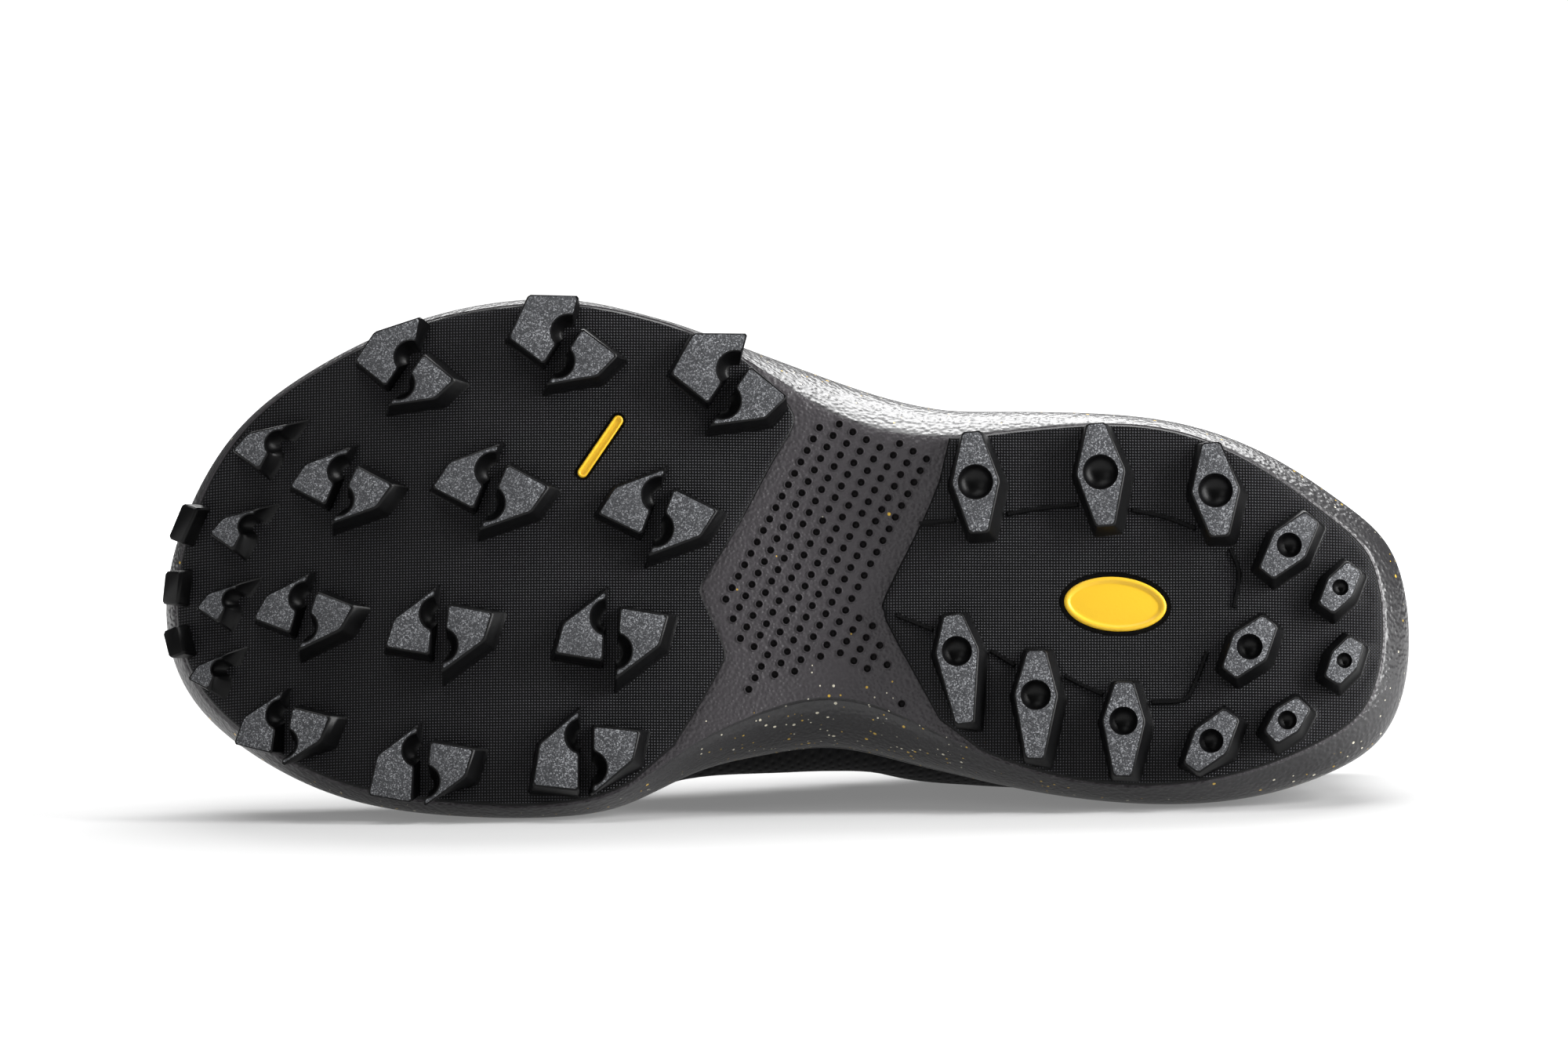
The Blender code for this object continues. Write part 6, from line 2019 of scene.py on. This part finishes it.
@dataclass
class Tongue(Piece):
    """The tongue: a padded strip under the eyestays, with a free end above the top eyelets."""

    thickness: float = 0.0045
    crown: float = 0.0030
    clearance: float = 0.0008
    stations: int = 46
    depth_profile: tuple[float, ...] = (0.25, 0.40, 0.55, 0.70, 0.85, 0.95)

    def arch(self, left: Array, right: Array, up: Array, share: float) -> Array:
        """A point of the arch between the throat's edges, at a share of the way across."""
        return left + (right - left) * share + up * self.crown * 4.0 * share * (1.0 - share)

    def station(self, along: float, lap: float) -> tuple[Array, Array]:
        """The tongue's outer and inner faces across one station.

        Args:
            along: the share of the length.
            lap: how far it reaches under the eyestays, in rows of the upper.

        Returns:
            The two faces, from the lateral to the medial side.
        """
        points, normals = [], []
        for side in Side:
            angle = np.array([angle_of(side, along)])
            for row in 1.0 - lap * np.linspace(1.0, 0.0, len(self.depth_profile)):
                normal = FORM.upper_normal(angle, row)[0]
                sunk = normal * (FORM.wall + self.clearance)
                points.append(FORM.upper_face(angle, row)[0] - sunk)
                normals.append(normal)
        count = len(self.depth_profile)
        left, right = count - 1, 2 * count - 1
        up = normals[left] + normals[right]
        up /= norm(up)
        shares = np.linspace(0.0, 1.0, 10)[1:-1]
        arch = [self.arch(points[left], points[right], up, share) for share in shares]
        slopes = [
            normals[left] * max(0.0, 1.0 - 2.0 * share) + up * (1.0 - abs(2.0 * share - 1.0))
            + normals[right] * max(0.0, 2.0 * share - 1.0) for share in shares
        ]
        outer = np.array([*points[:count], *arch, *points[: count - 1 : -1]])
        out = unit(np.array([*normals[:count], *slopes, *normals[: count - 1 : -1]]))
        depth = np.array([*self.depth_profile, *[1.0] * len(shares), *self.depth_profile[::-1]])
        return outer, outer - out * depth[:, None] * self.thickness

    def build(self, finishes: Sequence[Material]) -> Thing:
        """Makes the tongue, with the textile of its cover."""
        first = angle_of(Side.LATERAL, TONGUE_TO - 0.014)
        last = angle_of(Side.LATERAL, TONGUE_FROM + 0.021)
        rows = []
        for share in np.linspace(0.0, 1.0, self.stations):
            along = float(along_of(first + (last - first) * share))
            lap = TONGUE_END_LAP + (TONGUE_LAP - TONGUE_END_LAP) * share
            rows.append(self.station(along, lap))
        end = rows[-1]
        middle = (end[0] + end[1]).mean(axis=0) / 2.0
        for back, lift, width in smooth_path([(0.0, 0.0, 1.0), *TONGUE_END], 4)[1:]:
            shift = np.array([-TONGUE_END_BACK * back, 0.0, TONGUE_END_RISE * lift])
            narrow = np.array([1.0, width, 1.0])
            rows.append(tuple((face - middle) * narrow + middle + shift for face in end))
        surface = Surface()
        loops = [np.concatenate([outer, inner[::-1]]) for outer, inner in rows]
        surface.grid(loops, capped=True)
        piece = surface.build("tongue_pad", finishes, 60.0, "tongue", "mesh_fabric")
        return piece


@dataclass
class Lace(Piece):
    """The flat lace: its crossings over the throat dip into the eyelets and end there."""

    width: float = 0.0060
    thickness: float = 0.0016
    film: float = 0.0008
    hump: float = 0.0019
    # How far it dips into an eyelet, and how far it is drawn to the other side, as a share
    dip: float = 0.0024
    draw: float = 0.02
    knot_steps: int = 6
    sides: int = 16
    # How square the cord's section is across and through it: 1 is round and 0 square
    squareness: tuple[float, float] = (0.45, 0.75)
    # Width and thickness at each knot of a crossing, as shares of the flat cord's own
    widths: tuple[float, ...] = (0.50, 0.55, 0.88, 1.0, 1.0, 1.0, 0.88, 0.55, 0.50)
    depths: tuple[float, ...] = (1.25, 1.25, 1.05, 1.0, 1.0, 1.0, 1.05, 1.25, 1.25)

    def crossing(self, first: Eyelet, second: Eyelet, lift: float) -> Array:
        """The route of one crossing.

        Args:
            first: the eyelet it comes from.
            second: the eyelet it goes to.
            lift: how much higher it passes in the middle.

        Returns:
            For each point of the route its place, the way its face looks, its width and its depth.
        """
        clear = self.film + FORM.gap + self.thickness / 2.0
        up = first.out + second.out
        up /= norm(up)
        middle = (first.edge + second.edge) / 2.0 + up * (TONGUE.crown + clear + FORM.gap + lift)
        knots, ways = [], []
        for eyelet, other in ((first, second), (second, first)):
            drawn = (other.centre - eyelet.centre) * self.draw
            side = [
                eyelet.centre + drawn - eyelet.out * self.dip,
                eyelet.centre + drawn + eyelet.out * (clear + 0.0002),
                (eyelet.centre + eyelet.edge) / 2.0 + (eyelet.out + up) / 2.0 * (clear + FORM.gap),
                eyelet.edge + up * (clear + 3.0 * FORM.gap + lift / 3.0),
            ]
            knots.append(side)
            ways.append([eyelet.out, eyelet.out, eyelet.out + up, up])
        points = [*knots[0], middle, *knots[1][::-1]]
        facing = [way / norm(way) for way in (*ways[0], up, *ways[1][::-1])]
        rows = column_stack([points, facing, self.widths, self.depths])
        return smooth_path(rows, self.knot_steps)

    def ribbon(self, surface: Surface, route: Array) -> None:
        """Adds a flat cord with round edges along a route.

        Args:
            surface: the lace's surface.
            route: the rows of a crossing.
        """
        path, ups = route[:, :3], route[:, 3:6]
        run = unit(np.gradient(path, axis=0))
        # Where the cord dips into its eyelet it keeps the side way of the crossing
        across = np.cross(path[-1] - path[0], ups)
        across = unit(across - run * np.sum(across * run, axis=1)[:, None])
        up = np.cross(across, run)
        half = self.width / 2.0 * route[:, 6:7]
        thick = self.thickness / 2.0 * route[:, 7:8]
        rings = []
        for turn in np.linspace(0.0, 2.0 * math.pi, self.sides, endpoint=False):
            wide, high = (
                math.copysign(abs(value) ** power, value)
                for value, power in zip((math.cos(turn), math.sin(turn)), self.squareness)
            )
            rings.append(path + across * half * wide + up * thick * high)
        surface.grid(list(np.array(rings).transpose(1, 0, 2)), capped=True)

    def build(self, finishes: Sequence[Material]) -> Thing:
        """Makes the lace, of its cord's textile."""
        places = EYELETS.places()
        surface = Surface()
        self.ribbon(surface, self.crossing(places[-1][0], places[-1][1], 0.0))
        for (left, right), (next_left, next_right) in zip(places, places[1:]):
            self.ribbon(surface, self.crossing(left, next_right, 0.0))
            self.ribbon(surface, self.crossing(right, next_left, self.hump))
        return surface.build("lace_crossings_flat", finishes, 60.0, "lace_crossings", "lace_cord")


TONGUE = Tongue()


# Studio

@dataclass(frozen=True)
class SoftLight:
    """A soft light: its place, its width and depth, its power and where it points."""

    name: str
    place: tuple[float, float, float]
    width: float
    depth: float
    power: float
    target: tuple[float, float, float] = (0.0, 0.0, 0.05)

    def build(self) -> None:
        """Adds the light."""
        lamp = bpy.data.lights.new(self.name, "AREA")
        lamp.shape = "RECTANGLE"
        lamp.size, lamp.size_y, lamp.energy = self.width, self.depth, self.power
        holder = placed_object(self.name, lamp)
        holder.location = self.place
        way = Vector(self.target) - Vector(self.place)
        holder.rotation_euler = way.to_track_quat("-Z", "Y").to_euler()


@dataclass
class Studio:
    """A wide flat sheet of pale paper, soft lights and the photograph's camera."""

    reach: float = 14.0
    world: str = "#ffffff"
    world_strength: float = 0.12
    lights: tuple[SoftLight, ...] = (
        SoftLight("overhead_softbox", (-0.05, 0.05, 1.30), 1.6, 1.0, 15.5),
        SoftLight("front_fill", (-0.95, -1.45, 0.95), 0.9, 0.9, 3.4),
        SoftLight("rear_rim", (0.10, 0.75, 0.95), 1.2, 0.5, 20.0),
        SoftLight("right_strip", (1.10, -0.35, 0.45), 0.3, 1.0, 22.0),
    )

    def build(self, paper: Material) -> None:
        """Makes the floor, the lights, the world and the camera.

        Args:
            paper: the floor's material.
        """
        corners = [
            (x * self.reach, y * self.reach, 0.0) for x, y in ((-1, -1), (1, -1), (1, 1), (-1, 1))
        ]
        mesh = bpy.data.meshes.new("studio_floor")
        mesh.from_pydata(corners, [], [(0, 1, 2, 3)])
        mesh.materials.append(paper)
        floor = placed_object("studio_floor", mesh)
        for light in self.lights:
            light.build()
        world = bpy.data.worlds.new("studio_world")
        world.use_nodes = True
        sky = world.node_tree.nodes["Background"]
        sky.inputs["Color"].default_value = linear(self.world)
        sky.inputs["Strength"].default_value = self.world_strength
        bpy.context.scene.world = world
        bpy.context.scene.view_settings.view_transform = "Standard"
        self.place_camera()

    def place_camera(self) -> None:
        """Places the camera at the photograph's viewing angle."""
        turn = REST.to_3x3()
        back = -(turn @ SIGHT).normalized()
        up = (turn @ UPWARD).normalized()
        right = up.cross(back)
        place = REST @ AIM + back * CAMERA_DISTANCE
        lens = bpy.data.cameras.new("photograph_camera")
        lens.sensor_width = 36.0
        lens.lens = lens.sensor_width * CAMERA_DISTANCE / FIELD_WIDTH
        camera = placed_object("photograph_camera", lens)
        way = Matrix((right, up, back)).transposed().to_4x4()
        camera.matrix_world = Matrix.Translation(place) @ way
        bpy.context.scene.camera = camera


def main() -> None:
    """Builds the shoe and the studio, and reports each piece."""
    logging.basicConfig(level=logging.INFO, format="%(name)s: %(message)s")
    rubber = [kind().material() for kind in (WovenImprintRubber, PolishedRubber, GrainedRubber)]
    yellow = [BadgeRubber().material()]
    foam = [
        finish.material() for finish in (
            FleckedFoam(),
            # The side's foam is the arch's foam with a coarser mould texture, but painted darker:
            # painted shade, as on the medial wall that lies towards the floor
            FleckedFoam("midsole_eva_scaled", "#1f1e20", 0.36, 0.8, pebble=0.0011, relief=0.00028),
            # The dimples' hollows are the same foam, smoother and painted darker: painted shade in
            # the hollows
            PolishedRubber("midsole_eva_dimples", "#1d1b1c", 0.55),
        )
    ]
    lining = WovenTextile("collar_polyester_lining", "#1b1b1e", 0.9).material()
    cloth = [EngineeredMesh().material(), WeldedFilm().material(), lining]
    cover = WovenTextile("tongue_polyester_cover", "#19191c", 0.85, pitch=0.0012).material()
    cord = WovenTextile("lace_polyester_braid", "#222226", 0.75, pitch=0.0008).material()
    forefoot = ForefootPad(
        "forefoot_rubber", "outsole_forefoot", FOREFOOT_PAD_ENDS, True, FOREFOOT_REAR_EDGE
    )
    heel = HeelPad(
        "heel_rubber", "outsole_heel", HEEL_PAD_ENDS, False, HEEL_FRONT_EDGE, edge_steps=120
    )
    plan: tuple[tuple[Piece, list], ...] = (
        (forefoot, rubber), (heel, rubber), (BADGE, yellow), (MARK, yellow), (Midsole(), foam),
        (SockLiner(), [lining]), (Upper(), cloth), (TONGUE, [cover]), (Lace(), [cord]),
    )
    for part, finishes in plan:
        piece = part.build(finishes)
        log.info("%s: %d faces", piece.name, len(piece.data.polygons))
    Studio().build(StudioPaper().material())


if __name__ == "__main__":
    main()
